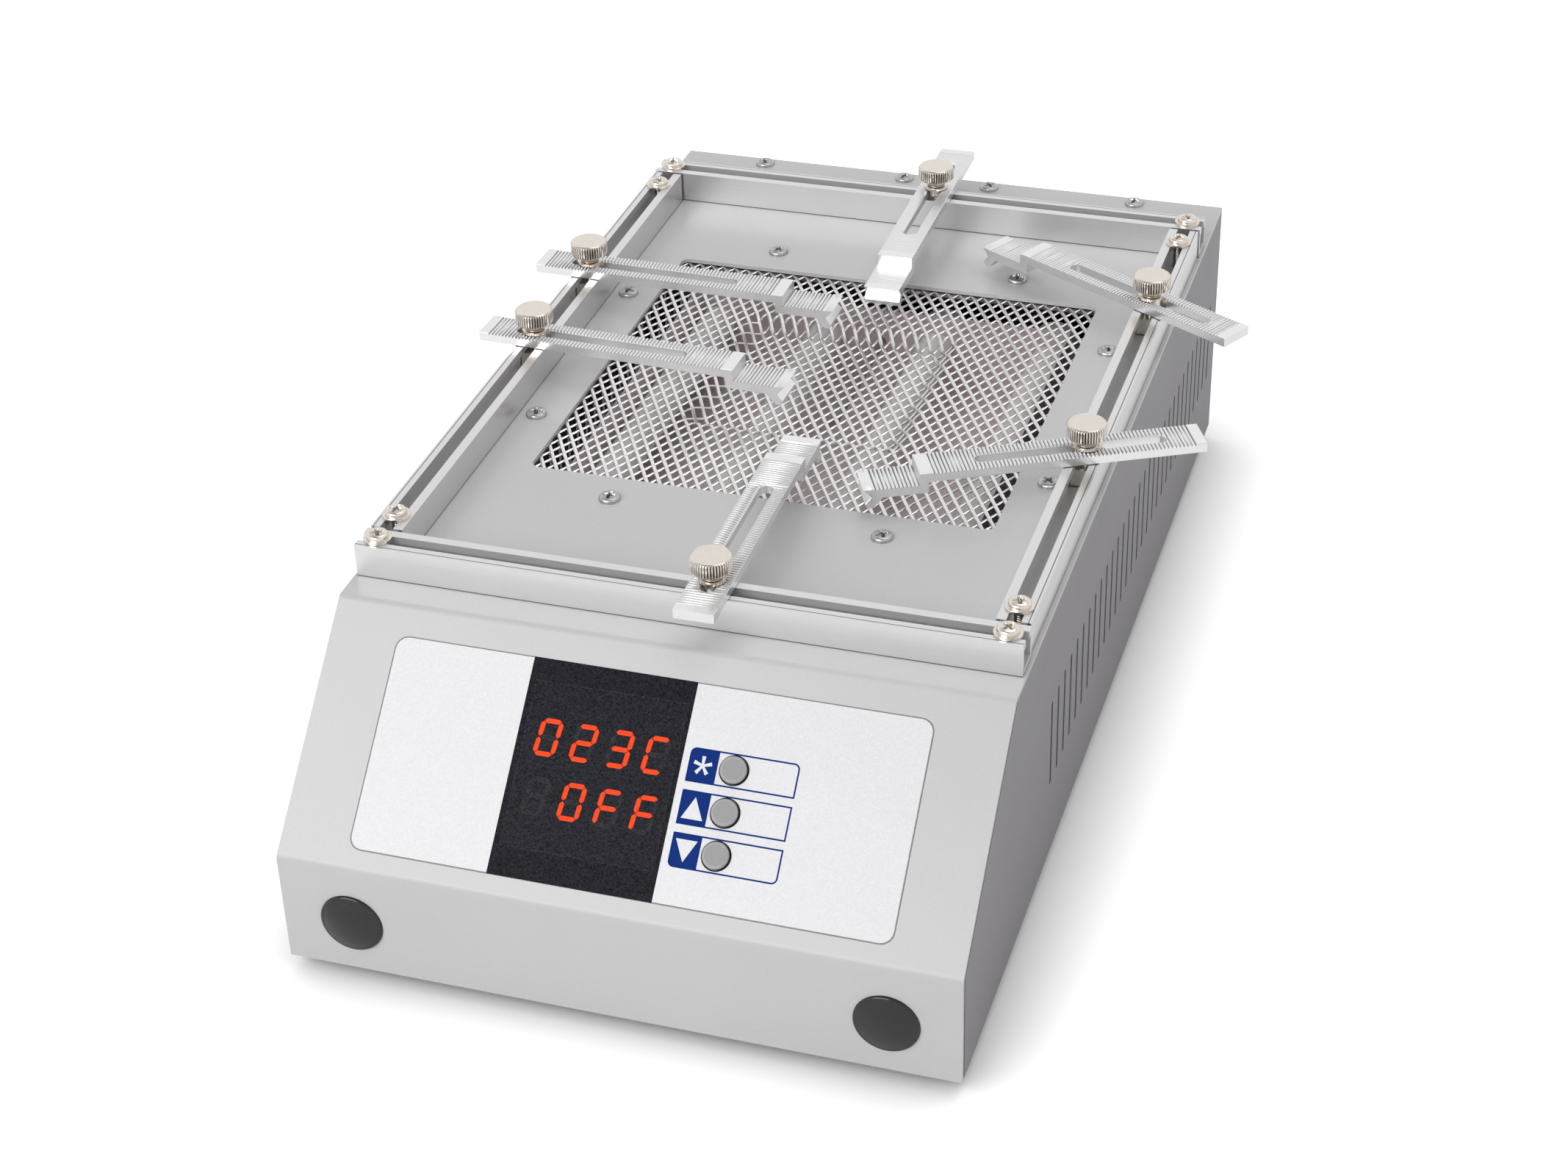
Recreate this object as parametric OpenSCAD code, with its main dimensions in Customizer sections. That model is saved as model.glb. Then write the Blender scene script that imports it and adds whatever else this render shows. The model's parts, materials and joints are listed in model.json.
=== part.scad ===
// Bench-top preheater for circuit boards: a folded sheet case, quartz tubes under a mesh window,
// four slotted rails round the window and six clamp arms that hold a board over the heat.
// The origin is on the table, under the middle of the case. +X is right, +Y is back, +Z is up.

/* [Case] */
// Width of the heater window in the deck
window_w = 135.6; // [120:0.1:160]
// Depth of the heater window in the deck
window_l = 135; // [120:0.1:160]
// Corner radius of the heater window
window_r = 2.5; // [1:0.1:5]
// Width of the deck at each side of the window
deck_side = 24.7; // [24:0.1:32]
// Depth of the deck before the window
deck_front = 75.7; // [70:0.1:90]
// Depth of the deck behind the window
deck_rear = 78.9; // [72:0.1:95]
// Depth taken up by the inclined control panel
panel_run = 52.4; // [49:0.1:60]
// Height of the case from its lower edge to the deck
body_h = 82; // [78:0.5:95]
// Height of the upright lower front face
front_h = 33.2; // [30:0.1:36]
// Thickness of the cover sheet
sheet = 1.2; // [0.9:0.1:1.6]
// Thickness of the tray and rear panel sheet
tray_t = 1.2; // [0.9:0.1:1.6]
// Inside radius of the cover's bends
bend_r = 1.5; // [1:0.1:2.5]
// Shadow gap between the cover's front and the side walls
seam = 0.8; // [0.4:0.1:1.2]
// Height of the tray's front lip
lip_h = 6; // [4:0.5:7]
// Distance of the front lip's ends from the case's sides
lip_end = 18; // [10:0.5:30]
// Depth of the rear panel's top flange
flange_l = 14; // [10:0.5:22]
// Height of the rubber feet under the case
foot_h = 5; // [3:0.5:8]
// Diameter of the rubber feet where they meet the tray
foot_d = 16; // [12:0.5:20]
// Narrowing of the rubber feet towards the table
foot_taper = 1.4; // [0.5:0.1:3]
// Diameter of the feet's snap stems
foot_stem_d = 6.4; // [5:0.1:8]
// Length of the snap stems above the tray's floor
foot_stem_h = 3; // [2:0.1:4]
// Distance of the feet from the case's edges
foot_in = 20; // [14:0.5:30]

/* [Side vents] */
// Distance from slot to slot
vent_pitch = 7.8; // [5:0.1:12]
// Width of a slot
vent_w = 1.8; // [1:0.1:3]
// Length of a slot
vent_h = 27.4; // [15:0.1:32]
// Height of the slots' lower ends above the case's lower edge
vent_z = 24.4; // [12:0.1:30]
// Distance of the first slot from the case's front
vent_front = 95.5; // [80:0.1:110]
// Least distance of the last slot from the case's rear edge
vent_rear = 12; // [8:0.1:30]

/* [Rails] */
// Width of a rail
rail_w = 9.2; // [8.8:0.1:11]
// Height of a rail
rail_h = 9.7; // [9:0.1:12]
// Width of the slot in a rail
rail_slot = 3.9; // [3.6:0.1:4.4]
// Thickness of a rail's side walls
rail_wall = 1.1; // [0.8:0.1:1.2]
// Thickness of the lips beside the slot
rail_lip = 2.2; // [1.6:0.1:2.6]
// Thickness of a rail's floor
rail_floor = 1.8; // [1.2:0.1:2.2]
// Distance of the side rails from the case's sides
rail_edge = 1.2; // [0.5:0.1:3]
// Distance of the front and rear rails' ends from the case's sides
rail_end = 0.8; // [0.3:0.1:3]
// Distance of the front rail behind the panel's upper bend
rail_front = 9.7; // [7:0.1:14]
// Depth of the bare strip behind the rear rail
rear_strip = 28.8; // [24:0.1:34]
// Gap between a side rail's end and the cross rail
rail_gap = 1; // [0.5:0.1:2]
// Distance of a side rail's front screw from the rail's end
side_screw_front = 6.8; // [5:0.1:10]
// Distance of a side rail's rear screw from the rail's end
side_screw_rear = 9.4; // [5:0.1:12]
// Shank diameter of the rail screws
rail_screw_d = 3.2; // [2.8:0.1:3.4]
// Flange diameter of the rail screws
rail_flange_d = 7.8; // [6.5:0.1:8.2]
// Flange thickness of the rail screws
rail_flange_t = 0.8; // [0.5:0.1:1]

/* [Screws] */
// Shank diameter of the panel screws
screw_d = 3; // [2.5:0.1:3.2]
// Head diameter of the screws
head_d = 6.2; // [5:0.1:6.6]
// Head height of the screws
head_h = 1.6; // [1.2:0.1:2]
// Width of the cross recess
recess_w = 1; // [0.6:0.1:1.4]
// Length of the cross recess
recess_l = 3.4; // [2.6:0.1:4]
// Depth of the cross recess
recess_h = 1; // [0.6:0.1:1.1]
// Length of a screw below the sheets that it holds
screw_end = 1.6; // [1:0.1:4]
// Radial clearance of a screw in its hole
hole_gap = 0.1; // [0.05:0.05:0.2]
// Distance of the outer strip screws from the case's sides
strip_outer = 28.5; // [20:0.5:40]
// Sideways distance of the inner strip screws from the middle
strip_inner = 14.7; // [10:0.1:30]
// Distance of the strip screws from the rear edge
strip_back = 4.4; // [4:0.1:6]
// Distance of the deck screws beside the window from its edge
deck_screw_side = 9; // [8:0.1:9.6]
// Distance apart of the two deck screws beside the window
deck_screw_side_pitch = 79.4; // [50:0.1:110]
// Distance of the deck screws before and behind the window from its edge
deck_screw_end = 11.4; // [9:0.1:14]
// Distance apart of the two deck screws before or behind the window
deck_screw_end_pitch = 79; // [50:0.1:110]

/* [Heater] */
// Overlap of the mesh under the deck's edge
mesh_lap = 4; // [3:0.1:5]
// Thickness of the mesh
mesh_t = 1; // [0.6:0.1:1.5]
// Width of a mesh opening
mesh_cell_w = 11.7; // [8:0.1:20]
// Length of a mesh opening
mesh_cell_l = 20.7; // [14:0.1:36]
// Width of a mesh strand
mesh_strand = 1.5; // [0.7:0.1:2.4]
// Thickness of the frame under the mesh
frame_t = 1.4; // [1:0.1:2]
// Distance of the frame's opening from the window's edge
frame_gap = 1; // [0.5:0.1:2]
// Distance of the frame's outer edge from the deck screws
frame_edge = 3.6; // [3:0.1:4.5]
// Gap between the window's edge and the reflector tray, seen from above
tray_gap = 6.7; // [5:0.1:9]
// Depth of the reflector tray
tray_deep = 26; // [23:0.5:30]
// Sheet thickness of the reflector tray
tray_sheet = 0.8; // [0.6:0.1:1.2]
// Drop from the deck's underside to the reflector tray's rim
tray_drop = 5; // [4:0.1:8]
// Width of the reflector tray's legs
leg_w = 86; // [60:1:100]
// Depth of the feet of the reflector tray's legs
leg_foot = 12; // [8:0.5:16]
// Number of quartz tubes
tube_count = 4; // [2:1:5]
// Distance of the outer tubes from the reflector tray's sides
tube_edge = 7; // [6.6:0.1:12]
// Outer diameter of a quartz tube
tube_d = 11; // [9:0.1:11.4]
// Wall of a quartz tube
tube_wall = 1; // [0.7:0.1:1.4]
// Drop from the reflector tray's rim to the tubes' axes
tube_drop = 11; // [9:0.1:13]
// Length of a ceramic end cap
cap_l = 12; // [10:0.5:16]
// Wall of a ceramic end cap
cap_wall = 2; // [1.5:0.1:2.5]
// Diameter of the coil wire and of the heater leads
lead_d = 1.8; // [1.2:0.1:2.4]
// Distance of the bus wires from the end caps
bus_gap = 4; // [3:0.1:6]
// Diameter of the thermocouple's sheath
probe_d = 3; // [2:0.1:4]
// Length of the thermocouple's sheath inside the reflector tray
probe_l = 55; // [30:1:80]
// Width across the thermocouple's gland nut
gland_d = 7.2; // [6:0.1:9]

/* [Control panel] */
// Distance of the overlay label from the case's sides
label_side = 19.1; // [12:0.1:26]
// Distance of the label's lower edge from the lower bend
label_low = 5.5; // [4.5:0.1:7]
// Distance of the label's upper edge from the upper bend
label_high = 8.4; // [5:0.1:9]
// Corner radius of the label
label_r = 3.6; // [2:0.1:6]
// Thickness of the label
label_t = 0.5; // [0.4:0.05:0.6]
// Depth of the pocket the label lies in
label_in = 0.4; // [0.2:0.05:0.5]
// Sideways place of the display lens
lens_x = -11.9; // [-20:0.1:-11]
// Place of the display lens up the slope
lens_s = 35.3; // [33:0.1:36]
// Width of the display lens
lens_w = 42; // [40:0.1:44]
// Height of the display lens
lens_h = 44.2; // [40:0.1:45]
// Thickness of the display lens's flange behind the cover
lens_flange = 1; // [0.6:0.1:1.5]
// Distance apart of the two rows of digits
row_pitch = 15.6; // [14.5:0.1:17]
// Width of an LED display block
led_w = 40; // [36:0.1:41]
// Height of an LED display block
led_h = 13; // [11:0.1:14]
// Sideways place of the buttons
button_x = 24.5; // [22:0.1:30]
// Place of the middle button up the slope
button_s = 31.1; // [28:0.1:34]
// Distance from button to button
button_pitch = 11.1; // [10:0.1:13]
// Diameter of a button
button_d = 7; // [6:0.1:8]
// Height of a button above the label
button_h = 1.8; // [1.2:0.1:2.5]
// Bevel round a button's top
button_bevel = 0.7; // [0.3:0.1:1]
// Width of a button's flange behind the cover
button_flange = 0.9; // [0.6:0.1:1]
// Diameter of a button's stem
stem_d = 3.4; // [2.5:0.1:4.5]
// Travel of a button
button_travel = 0.8; // [0.4:0.1:1]
// Radial clearance of a button in its hole
button_gap = 0.08; // [0.05:0.01:0.1]
// Distance from the cover's inside to the control board
board_gap = 14; // [12:0.5:16]
// Thickness of the circuit boards
board_t = 1.6; // [1:0.1:2]
// Width of the control board
board_w = 86; // [80:1:100]
// Height of the control board along the slope
board_h = 52; // [50:1:54]
// Width of a tact switch
tact_w = 6; // [5:0.1:7]
// Height of a tact switch's body
tact_h = 3.6; // [3:0.1:4.2]
// Height of a tact switch with its plunger
plunger_h = 5; // [4.6:0.1:6]
// Radius of the board posts
post_r = 2.6; // [2.2:0.1:3.2]
// Radius of the posts' pins
pin_r = 1.4; // [1.1:0.1:1.6]
// Distance of the posts from the boards' edges
post_in = 4; // [3.5:0.1:6]
// Diameter of the black plugs on the front face
plug_d = 17.7; // [15:0.1:20]
// Diameter of the plugs' holes in the cover
plug_hole_d = 13.4; // [11:0.1:14]
// Distance of the plugs from the case's sides
plug_side = 19.6; // [14:0.1:30]
// Height of the plugs above the case's lower edge
plug_z = 15.3; // [14.5:0.1:18]
// Height of a plug's dome
plug_dome = 2.6; // [1.5:0.1:4]
// Depth of a plug's barb behind the cover
plug_barb = 2.4; // [1.5:0.1:4]

/* [Clamps] */
// Length of a clamp arm
arm_l = 97; // [95:0.5:100]
// Width of a clamp arm
arm_w = 11.2; // [10:0.1:12]
// Thickness of a clamp arm's bar
arm_t = 2.8; // [2.4:0.1:3.2]
// Length of the arm's upper bar
arm_bar = 81.2; // [79:0.1:83]
// Distance of the slot's outer end from the arm's outer end
slot_start = 10.3; // [9:0.1:11]
// Distance of the slot's inner end from the arm's outer end
slot_end = 64.7; // [62:0.1:68]
// Width of the slot in an arm
arm_slot = 4; // [3.8:0.1:4.4]
// Step from the upper bar's top down to the tip's platform
arm_step = 3.2; // [3:0.1:3.6]
// Length of the riser between the bar and the platform
riser_l = 2.6; // [2:0.1:4]
// Thickness of the tip's platform
tip_t = 3; // [2.4:0.1:3.2]
// Drop of the tip's tongue below the platform's underside
tongue_h = 3; // [2:0.1:3.2]
// Length of the tip's tongue
tongue_l = 5.4; // [4.5:0.1:7]
// Depth of the notch that takes a board's edge
notch = 2.2; // [1.5:0.1:2.6]
// Diameter of a thumb screw's knurled head
knob_d = 11.4; // [10:0.1:13]
// Height of a thumb screw's knurled head
knob_h = 4.4; // [3.5:0.1:6]
// Bevel round a thumb screw's head
knob_bevel = 0.5; // [0.2:0.1:0.8]
// Diameter of a thumb screw's collar
collar_d = 7; // [6:0.1:8]
// Height of a thumb screw's collar
collar_h = 2.2; // [1.5:0.1:3]
// Narrowing of the collar towards the washer
collar_taper = 1.2; // [0.4:0.1:1.6]
// Diameter of a thumb screw's thread
thread_d = 3; // [2.6:0.1:3.2]
// Radial running clearance of the thread in its nut
thread_gap = 0.05; // [0.02:0.01:0.1]
// Diameter of the guide washer
washer_d = 7.6; // [6:0.1:9]
// Thickness of the guide washer
washer_t = 0.6; // [0.4:0.1:1]
// Length of the guide washer's key in the arm's slot
key_l = 6.4; // [5:0.1:6.8]
// Height of the guide washer's key
key_h = 2; // [1.2:0.1:2.3]
// Length of a nut along its rail
nut_l = 9; // [7:0.1:11]
// Clearance between clamp pieces that slide on each other
slide_gap = 0.15; // [0.1:0.05:0.2]
// Left rear clamp: distance of its screw from the rail's rear end
left_back_place = 73.6; // [60:0.1:80]
// Left rear clamp: angle of its arm from the case's width
left_back_angle = -1; // [-10:0.1:10]
// Left rear clamp: distance of its screw from the arm's outer end
left_back_hold = 16; // [14:0.1:18]
// Left front clamp: distance of its screw from the rail's front end
left_front_place = 110.4; // [100:0.1:120]
// Left front clamp: angle of its arm from the case's width
left_front_angle = -2.5; // [-10:0.1:10]
// Left front clamp: distance of its screw from the arm's outer end
left_front_hold = 16; // [14:0.1:18]
// Rear clamp: distance of its screw to the right of the case's middle
back_place = 4; // [-10:0.1:10]
// Rear clamp: angle of its arm from the case's width
back_angle = -89.6; // [-95:0.1:-85]
// Rear clamp: clearance of its tip behind the left rear clamp's arm
back_tip_gap = 5.9; // [2:0.1:10]
// Right rear clamp: distance of its screw from the rail's rear end
right_back_place = 53.2; // [48:0.1:60]
// Right rear clamp: angle of its arm from the case's width
right_back_angle = 151; // [145:0.1:160]
// Right rear clamp: distance of its screw from the arm's outer end
right_back_hold = 32.8; // [28:0.1:40]
// Right front clamp: distance of its screw from the rail's front end
right_front_place = 85.7; // [75:0.1:95]
// Right front clamp: angle of its arm from the case's width
right_front_angle = -153.2; // [-160:0.1:-145]
// Right front clamp: distance of its screw from the arm's outer end
right_front_hold = 33.1; // [28:0.1:40]
// Front clamp: distance of its screw to the right of the case's middle
front_place = 8; // [0:0.1:12]
// Front clamp: angle of its arm from the case's width
front_angle = 90.3; // [85:0.1:95]
// Front clamp: distance of its screw from the arm's outer end
front_hold = 15.8; // [14:0.1:18]

/* [Power parts] */
// Height of the rear fittings above the case's lower edge
rear_z = 26; // [22:0.5:36]
// Thickness of the flanges outside the rear panel
bezel_t = 2; // [1.5:0.1:2.5]
// Overhang of the rear fittings' flanges
bezel_w = 2; // [1.5:0.1:3]
// Gap between the rear fittings' flanges
fit_gap = 5.5; // [3:0.5:10]
// Distance of the mains inlet from the case's side
inlet_side = 40.5; // [36:0.5:50]
// Width of the mains inlet's body
inlet_w = 28; // [27:0.5:30]
// Height of the mains inlet's body
inlet_h = 20; // [19:0.5:22]
// Depth of the mains inlet's body inside the case
inlet_l = 18; // [16:0.5:22]
// Wall of the mains inlet's body
inlet_wall = 1.9; // [1.5:0.1:2.4]
// Width of the mains inlet's screw ears
ear_w = 11; // [9:0.5:13]
// Distance from one contact blade to the next
blade_pitch = 7; // [6.5:0.1:7.5]
// Height of a contact blade
blade_h = 4; // [3:0.1:5]
// Thickness of a contact blade
blade_t = 2; // [1.5:0.1:2.5]
// Offset of the middle blade above the mains inlet's middle
blade_rise = 2; // [1:0.1:3]
// Width of the rocker switch's body
switch_w = 15; // [14:0.5:17]
// Height of the rocker switch's body
switch_h = 21; // [20:0.5:24]
// Depth of the rocker switch's body inside the case
switch_l = 14; // [13:0.5:18]
// Wall of the rocker switch's body
switch_wall = 2; // [1.8:0.1:2.4]
// Tilt of the rocker from level at each end of its travel
rocker_tilt = 8; // [5:0.5:9]
// Radius of the rocker's trunnions
trunnion_r = 1.2; // [0.8:0.1:1.6]
// Length of the rocker's trunnions
trunnion_l = 1.2; // [0.8:0.1:1.4]
// Diameter of the fuse holder's barrel
fuse_d = 12; // [10:0.5:14]
// Depth of the fuse holder's barrel inside the case
fuse_l = 30; // [25:0.5:35]
// Height of the fuse holder's cap outside its flange
fuse_cap = 6; // [4:0.5:8]
// Height of the fuse holder's nut
fuse_nut = 4; // [3:0.1:5]
// Width of the power board
power_w = 78; // [70:1:85]
// Depth of the power board
power_l = 60; // [52:1:62]
// Distance of the heater leads from the power board's edge
power_edge = 11; // [8:0.5:14]
// Height of the power board above the tray's floor
power_gap = 6; // [4:0.5:10]
// Height of the triac's heatsink
sink_h = 30; // [20:1:40]
// Number of fins on the heatsink
fin_count = 6; // [3:1:7]
// Distance from fin to fin
fin_pitch = 7; // [5:0.1:8]
// Thickness of a fin
fin_t = 2; // [1:0.1:3]
// Depth of the heatsink
sink_l = 16; // [10:0.5:20]
// Width of the triac
triac_w = 10; // [8:0.1:12]
// Thickness of the triac
triac_t = 4.5; // [3:0.1:5]
// Height of the triac's body
triac_h = 15; // [12:0.1:17]
// Length of the triac's legs
triac_leg = 4; // [3:0.1:6]
// Distance of the transformer from the case's side
trafo_side = 18; // [12:0.5:24]
// Width of the transformer's core
trafo_w = 48; // [40:1:54]
// Depth of the transformer's core
trafo_l = 19; // [15:0.5:24]
// Height of the transformer's core
trafo_h = 40; // [34:1:44]
// Width of the transformer's winding
coil_w = 31; // [24:1:36]
// Overhang of the winding before and behind the core
coil_out = 9; // [6:0.5:10]
// Height of the winding
coil_h = 26; // [20:1:30]
// Length of the transformer's mounting ears
trafo_ear = 12; // [11:0.5:15]
// Thickness of the transformer's mounting ears
trafo_ear_t = 2; // [1.5:0.1:3]
// Width of the ribbon cable
ribbon_w = 16; // [10:0.5:24]
// Thickness of the ribbon cable
ribbon_t = 1; // [0.6:0.1:1.5]
// Height of the ribbon cable's upright ends
ribbon_end = 6; // [4:0.5:10]

/* [Hidden] */
$fn = 48;
clear = 0.1;
over = 1;
body_w = window_w + 2 * deck_side;
body_l = panel_run + deck_front + window_l + deck_rear;
yf = -body_l / 2;
yr = body_l / 2;
heater_y = yf + panel_run + deck_front + window_l / 2;
deck_z = foot_h + body_h;
deck_in = deck_z - sheet;
floor_z = foot_h + tray_t;
panel_z = foot_h + front_h;
panel_a = atan2(body_h - front_h, panel_run);
panel_l = norm([panel_run, body_h - front_h]);
inside_w = body_w - 2 * tray_t;
vent_count = floor((body_l - vent_front - vent_rear) / vent_pitch) + 1;
rail_x = body_w / 2 - rail_edge - rail_w / 2;
rail_yf = yf + panel_run + rail_front + rail_w / 2;
rail_yr = yr - rear_strip - rail_w / 2;
side_y0 = rail_yf + rail_w / 2 + rail_gap;
side_y1 = rail_yr - rail_w / 2 - rail_gap;
rail_top = deck_z + rail_h;
cavity_h = rail_h - rail_lip - rail_floor;
rail_screws_at = [
    for (sx = [-1, 1])
        for (y = [rail_yf, side_y0 + side_screw_front, side_y1 - side_screw_rear, rail_yr])
            [sx * rail_x, y]
];
deck_screws_at = [
    for (sx = [-1, 1])
        for (sy = [-1, 1])
            for (p = [
                [window_w / 2 + deck_screw_side, deck_screw_side_pitch / 2],
                [deck_screw_end_pitch / 2, window_l / 2 + deck_screw_end]
            ])
                [sx * p[0], heater_y + sy * p[1]]
];
strip_screws_at = [
    for (sx = [-1, 1])
        for (x = [strip_inner, body_w / 2 - strip_outer])
            [sx * x, yr - strip_back]
];
frame_w = window_w + 2 * (deck_screw_side + frame_edge);
frame_l = window_l + 2 * (deck_screw_end + frame_edge);
mesh_w = window_w + 2 * mesh_lap;
mesh_l = window_l + 2 * mesh_lap;
tray_w = window_w - 2 * tray_gap;
tray_l = window_l - 2 * tray_gap;
tray_rim = deck_in - tray_drop;
tray_floor = tray_rim - tray_deep;
tube_z = tray_rim - tube_drop;
tube_pitch = (tray_w - 2 * tube_edge) / (tube_count - 1);
tube_xs = [for (i = [0:tube_count - 1]) tube_edge - tray_w / 2 + i * tube_pitch];
tube_half = tray_l / 2 + cap_l - cap_wall - clear;
coil_r = tube_d / 2 - tube_wall - clear;
cap_r = tube_d / 2 + hole_gap + cap_wall;
bus_x = tray_w / 2 + cap_r + bus_gap;
bus_y = tray_l / 2 + cap_l + bus_gap;
probe_x = tube_xs[0] + tube_pitch * (floor(tube_count / 2) - 0.5);
label_w = body_w - 2 * label_side;
label_h = panel_l - label_low - label_high;
board_n = -sheet - board_gap;
board_x = lens_x + 8;
board_s = lens_s - 2;
tact_n = board_n + plunger_h;
arm_z = rail_top + slide_gap;
washer_z = arm_z + arm_t + slide_gap;
knob_z = washer_z + washer_t + slide_gap;
nut_z = deck_z + rail_floor + 2 * slide_gap;
nut_h = cavity_h - 4 * slide_gap;
nut_w = rail_w - 2 * rail_wall - 3 * slide_gap;
thread_l = knob_z - nut_z;
bay_y = (yf + panel_run + heater_y - bus_y) / 2;
power_x = power_w / 2 - power_edge - bus_x;
power_z = floor_z + power_gap;
power_top = power_z + board_t;
fit_z = foot_h + rear_z;
inlet_x = body_w / 2 - inlet_side;
switch_x = inlet_x - inlet_w / 2 - ear_w - fit_gap - bezel_w - switch_w / 2;
fuse_x = switch_x - switch_w / 2 - bezel_w - fit_gap - bezel_w - fuse_d / 2;
rocker_w = switch_w - 2 * switch_wall - 8 * clear;
rocker_n = 3.5;
rocker_reach = switch_h / 2 - switch_wall - 1;
left_back_y = side_y1 - left_back_place;
back_reach = rail_yr - left_back_y - arm_w / 2 - back_tip_gap;
along_y = 90;
// Name, place of the screw, arm's angle, distance of the screw from the arm's outer end, angle of the rail
clamps = [
    ["left_back", [-rail_x, left_back_y], left_back_angle, left_back_hold, along_y],
    ["left_front", [-rail_x, side_y0 + left_front_place], left_front_angle, left_front_hold, along_y],
    ["back", [back_place, rail_yr], back_angle, arm_l - back_reach, 0],
    ["right_back", [rail_x, side_y1 - right_back_place], right_back_angle, right_back_hold, along_y],
    ["right_front", [rail_x, side_y0 + right_front_place], right_front_angle, right_front_hold, along_y],
    ["front", [front_place, rail_yf], front_angle, front_hold, 0]
];

// Side view of the case: corners moved inwards from the outer skin by a distance
function lower_bend(d) = [yf + d, panel_z - d * cos(panel_a) / (1 + sin(panel_a))];
function upper_bend(d) = [yf + panel_run + d * sin(panel_a) / (1 + cos(panel_a)), deck_z - d];
// Side view of a point on the panel: a distance up the slope and a height out of the panel
function panel_point(s, n) = [
    yf + s * cos(panel_a) - n * sin(panel_a),
    panel_z + s * sin(panel_a) + n * cos(panel_a)
];
// Points of an arc about c, from angle a0 to angle a1
function arc(c, r, a0, a1, steps = 5) = [
    for (i = [0:steps]) c + r * [cos(a0 + (a1 - a0) * i / steps), sin(a0 + (a1 - a0) * i / steps)]
];
// Radius of the ball whose cap has this width and height
function cap_ball(d, h) = (d * d / 4 + h * h) / (2 * h);

// A flat shape in the (y, z) plane drawn out along x by a width, centred
module along_x(w) {
    translate([-w / 2, 0, 0])
        rotate([90, 0, 90])
            linear_extrude(w)
                children();
}

// The inclined panel's own frame: x across, y up the slope, z out of the panel
module on_panel() {
    translate([0, yf, panel_z])
        rotate([panel_a, 0, 0])
            children();
}

// The rear panel's own frame: x as the case's, y up, z into the case
module on_rear(x) {
    translate([x, yr, fit_z])
        rotate([90, 0, 0])
            children();
}

module at_each(places, z = 0) {
    for (p = places)
        translate([p[0], p[1], z])
            children();
}

module at_corners(w, l) {
    for (sx = [-1, 1])
        for (sy = [-1, 1])
            translate([sx * w / 2, sy * l / 2])
                children();
}

module round_rect(w, l, r) {
    square([w - 2 * r, l], center = true);
    square([w, l - 2 * r], center = true);
    at_corners(w - 2 * r, l - 2 * r)
        circle(r);
}

// Slot with round ends, along x
module slot_shape(l, w) {
    square([l - w, w], center = true);
    for (sx = [-1, 1])
        translate([sx * (l - w) / 2, 0])
            circle(d = w);
}

// Half outline of a dome that stands on z = 0, to be spun
module dome_half(d, h) {
    intersection() {
        translate([0, h - cap_ball(d, h)])
            circle(cap_ball(d, h), $fn = 96);
        square([d / 2, h]);
    }
}

// Pan head with a cross recess, resting on z = 0, over a plain shank
module pan_screw(d, l) {
    difference() {
        union() {
            rotate_extrude()
                dome_half(head_d, head_h);
            translate([0, 0, -l])
                cylinder(h = l + head_h / 4, d = d);
        }
        for (a = [0, 90])
            rotate(a)
                translate([-recess_l / 2, -recess_w / 2, head_h - recess_h])
                    cube([recess_l, recess_w, recess_h + over]);
    }
}

// Tube swept along a route: one ring square to the mean direction at each point
module swept(route, r, sides = 8) {
    last = len(route) - 1;
    rings = [
        for (i = [0:last])
            let (
                d = route[min(i + 1, last)] - route[max(i - 1, 0)],
                u0 = cross(d, abs(d[2]) > 0.9 * norm(d) ? [1, 0, 0] : [0, 0, 1]),
                u = u0 / norm(u0),
                v = cross(d, u) / norm(d)
            )
                [for (k = [0:sides - 1]) route[i] + r * (cos(360 * k / sides) * u + sin(360 * k / sides) * v)]
    ];
    walls = [
        for (i = [0:last - 1])
            for (k = [0:sides - 1])
                let (a = i * sides + k, b = i * sides + (k + 1) % sides)
                    [a, a + sides, b + sides, b]
    ];
    ends = [[for (k = [0:sides - 1]) k], [for (k = [sides - 1:-1:0]) last * sides + k]];
    polyhedron([for (ring = rings) for (p = ring) p], concat(walls, ends));
}

module side_wall() {
    inset = sheet + seam;
    top = upper_bend(inset) + seam * [1 / tan(panel_a), 1];
    difference() {
        polygon([[yf + inset, foot_h], lower_bend(inset), top, [yr, deck_in], [yr, foot_h]]);
        for (i = [0:vent_count - 1])
            translate([yf + vent_front + i * vent_pitch, foot_h + vent_z + vent_h / 2])
                rotate(90)
                    slot_shape(vent_h, vent_w, $fn = 16);
    }
}

module base_tray() {
    color("#5b585c")
        difference() {
            union() {
                translate([-body_w / 2, yf + sheet, foot_h])
                    cube([body_w, body_l - sheet, tray_t]);
                translate([-body_w / 2 + lip_end, yf + sheet, foot_h])
                    cube([body_w - 2 * lip_end, tray_t, lip_h]);
                for (sx = [-1, 1])
                    translate([sx * (body_w - tray_t) / 2, 0, 0])
                        along_x(tray_t)
                            side_wall();
            }
            translate([0, 0, foot_h - over])
                at_corners(body_w - 2 * foot_in, body_l - 2 * foot_in)
                    cylinder(h = tray_t + 2 * over, d = foot_stem_d + 2 * hole_gap);
        }
}

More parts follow.
